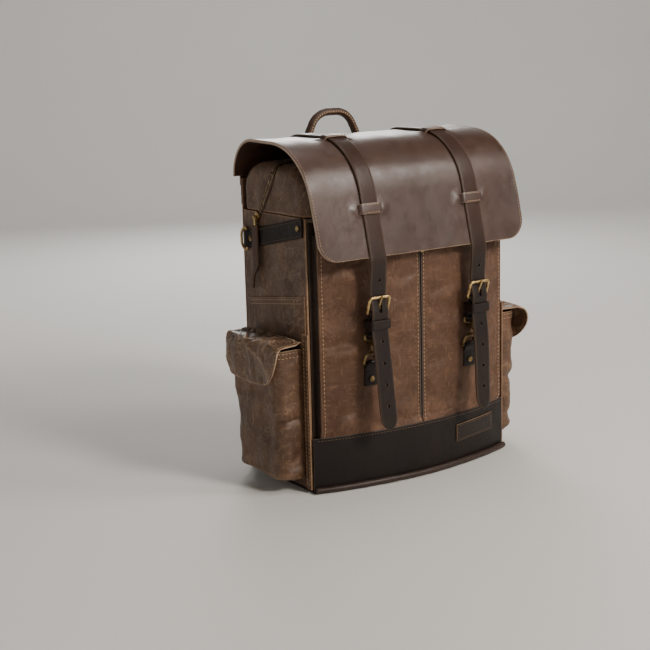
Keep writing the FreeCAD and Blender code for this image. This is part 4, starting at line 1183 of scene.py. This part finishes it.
def flap_job():
    """The left flap: out from its root, over the edge and down, its lower corners rounded."""
    line = rounded_path([(-143.3, 172.6), (-182.6, 172.6), (-180.2, 127.0)], [9.0], 3.0)
    line = resample(line, 30)
    run = np.linspace(0, run_along(line)[-1], 30)
    left = run[-1] - run
    round_by = 24.0
    inset = np.maximum(0, round_by - left)
    half = 50.5 - round_by + np.sqrt(np.maximum(round_by ** 2 - inset ** 2, 0))
    y = np.linspace(-1, 1, 34)
    gy = -4.5 + half[None, :] * y[:, None]
    gx = np.broadcast_to(line[:, 0], gy.shape)
    gz = np.broadcast_to(line[:, 1], gy.shape)
    droop = np.clip((run / run[-1] - 0.55) / 0.45, 0, 1)[None, :]
    gz = gz - 3.0 * droop * (1 - np.abs(y[:, None]) ** 2)
    curl = np.clip((-gy - 26) / 26, 0, 1) ** 2 * droop
    flare = np.exp(-((run / run[-1] - 0.58) / 0.24) ** 2)[None, :] * np.clip((-gy - 16) / 34, 0, 1) ** 1.5
    gy = gy - 9.0 * flare
    gx = gx - 3.0 * curl - 2.0 * flare
    dimple = np.exp(-((gy - 4) / 14) ** 2 - ((gz - 148) / 12) ** 2)
    gx = gx + 2.9 * dimple
    far = run[None, :] + 0 * gy
    for (run_a, y_a), (run_b, y_b), height in FLAP_RIDGES:
        long = math.hypot(run_b - run_a, y_b - y_a)
        ahead = ((far - run_a) * (run_b - run_a) + (gy - y_a) * (y_b - y_a)) / long
        beside = ((far - run_a) * (y_b - y_a) - (gy - y_a) * (run_b - run_a)) / long
        past_end = np.abs(ahead - long / 2) - long / 2
        ridge = height * np.exp(-(beside / 3.2) ** 2) / (1 + np.exp(past_end / 2))
        top = 1 / (1 + np.exp((far - 41) / 3))
        gz = gz + ridge * top * np.clip(far / 24, 0, 1) ** 2
        gx = gx - ridge * (1 - top)
    grid = np.stack([gx, gy, gz], -1) * MM
    normals = facing(grid, LEFT)
    pin = np.zeros(gy.shape)
    pin[:, :2] = 1.0
    pin = np.maximum(pin, 0.9 * dimple * (dimple > 0.3))
    return {"grid": grid, "normals": normals, "pressure": 0.15, "shrink": -0.035, "cap": 0.0034,
            "pin": pin, "bend": 1.2}


def make_pockets(pocket, flap):
    for side, word in SIDES:
        outward = np.array((side, 0.0, 0.0))
        grid, normals = finish_canvas(pocket * (-side, 1, 1), outward, 0.0011, 0.0011, 24.0, 81.0 + side, (2, 2, 2, 2))
        slab(f"pocket_canvas_{word}", grid, POCKET_T * MM, "canvas_side", "bag", [f"side_pocket_{word}"],
             0.3, normals=normals)
        rows = [edge_row(grid, normals, 1, d * MM, POCKET_T * MM) for d in (3.0, 8.0)]
        body = f"side_flap_{word}"
        grid, normals = finish_canvas(flap * (-side, 1, 1), outward, 0.0014, 0.0016, 21.0, 91.0 + side, (1, 1, 1, 1),
                                      calm=0.42)
        slab(f"flap_canvas_{word}", grid, POCKET_T * MM, "flap", body, [f"side_flap_{word}"], 0.6,
             normals=normals)
        hem = [edge_row(grid, normals, 0, d * MM, POCKET_T * MM, (0.006, 0.003)) for d in (3.2, -3.2)]
        hem.append(edge_row(grid, normals, 1, -3.2 * MM, POCKET_T * MM, (0.003, 0.003)))
        stitches(f"flap_stitches_{word}", hem, "thread", body, SIDE_SEWING)
        stitches(f"pocket_stitches_{word}", rows, "thread", "bag", SIDE_SEWING)
    softened("flap_bindings", ["flap_roots"], "canvas_side", "bag", 0.0005, 2)


# ------------------------------------------------------------------ handle and small leather

def make_handle():
    line = rounded_path([(-HANDLE_X, HANDLE_FOOT_Z), (-HANDLE_X, 385), (-22, 413), (22, 413),
                         (HANDLE_X, 385), (HANDLE_X, HANDLE_FOOT_Z)], [26] * 4, 2.0)
    path = np.stack([line[:, 0], np.full(len(line), HANDLE_Y), line[:, 1]], 1)
    run = np.linspace(-1, 1, len(path))
    radius = 4.6 + 1.2 * run ** 4 + 0.08 * np.sin(run * 60)
    across = (0.0, 1.0, 0.0)
    tube("handle_grip", path * MM, radius * MM, "handle", "grab_handle", ["grab_handle"], 18,
         (across, HANDLE_OVAL))
    for side, word in SIDES:
        pin = np.array([(side * HANDLE_X + dx, HANDLE_Y, HANDLE_PIN_Z)
                        for dx in np.linspace(-10.3, 10.3, 5)])
        tube(f"handle_pin_{word}", pin * MM, 2.0 * MM, "brass", "grab_handle", (), 16, (across, 1.0))
    face = path + FRONT * (HANDLE_OVAL * radius[:, None] + 0.05)
    keep = slice(4, -4)
    normal = np.tile(FRONT, (len(face[keep]), 1))
    for number, slant in enumerate((0.0011, -0.0011)):
        for where, row, out in (("", face, normal), ("back_", 2 * path - face, -normal)):
            stitches(f"handle_{where}stitches_{number}", [(row[keep] * MM, out)], "thread", "grab_handle",
                     HANDLE_SEWING, slant)


# Leather made from one CAD node each: piece, node, material, body, voxel size
SMALL_LEATHER = [
    ("strap_chapes", "chapes", "strap", "lid", 0.00055),
    ("strap_keeper_loops", "strap_keepers", "strap", "lid", 0.0005),
    ("handle_feet", "handle_tabs", "handle", "lid", 0.0006),
    ("ring_tabs", "front_tabs", "strap", "bag", 0.00055),
    ("side_leather", "side_straps", "band", "bag", 0.0008),
    ("rail_loops", "rack_loops", "strap", "bag", 0.0009),
    ("lid_anchor", "lid_anchor_strip", "strap", "bag", 0.0012),
    ("zip_pull_leather", "main_pull_tab", "pull", "main_zip_pull", 0.0005),
]


def make_small_leather():
    for name, node, material, body, voxel in SMALL_LEATHER:
        softened(name, [node], material, body, voxel)
    rows = []
    for side in (-1, 1):
        for down in (2.6, 19.4):
            y = np.linspace(-57, 46, 20)
            z = 298.0 - 0.21 * y - down
            rows.append((np.stack([np.full(20, side * 142.6), y, z], 1) * MM,
                         np.tile((float(side), 0.0, 0.0), (20, 1))))
    for z in (317.5, 341.5):
        x = np.linspace(-134, 134, 60)
        rows.append((np.stack([x, np.full(60, 71.0), np.full(60, z)], 1) * MM,
                     np.tile((0.0, 1.0, 0.0), (60, 1))))
    stitches("leather_stitches", rows, "dark_thread", "bag", STRAP_SEWING)


def dress_cad_nodes():
    """Metal and boards keep their CAD shapes and get their own materials."""
    chosen = {"front_zip_teeth": "tape", "base_board": "board", "back_stiffener": "board"}
    chosen.update({f"main_zip_{row}": "dark_brass" for row in ("front_row", "back_row", "side_rows")})
    paired = [f"{part}_{word}" for part in ("hook_gate", "front_ring") for _, word in SIDES]
    # The hooks, rings and rivets get the darker brass: partly its darker film, partly painted shade for the straps'
    # shadow
    chosen.update({name: "aged_and_shaded_brass" for name in ["snap_hooks", "rivets"] + paired})
    for name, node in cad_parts.items():
        node.data.materials.clear()
        node.data.materials.append(MATERIALS[chosen.get(name, "brass")])


def main():
    make_camera()
    make_materials()
    make_lamps()
    make_floor()
    dress_cad_nodes()
    jobs = [front_job(side) for side, _ in SIDES] + [pocket_job(), flap_job()]
    results = simulate(jobs)
    make_front(results[:2])
    make_pockets(*results[2:])
    make_lid()
    make_loops()
    make_straps()
    make_base()
    for side, word in SIDES:
        make_side(side, word)
    make_back_and_inside()
    make_collar()
    make_handle()
    make_small_leather()


main()
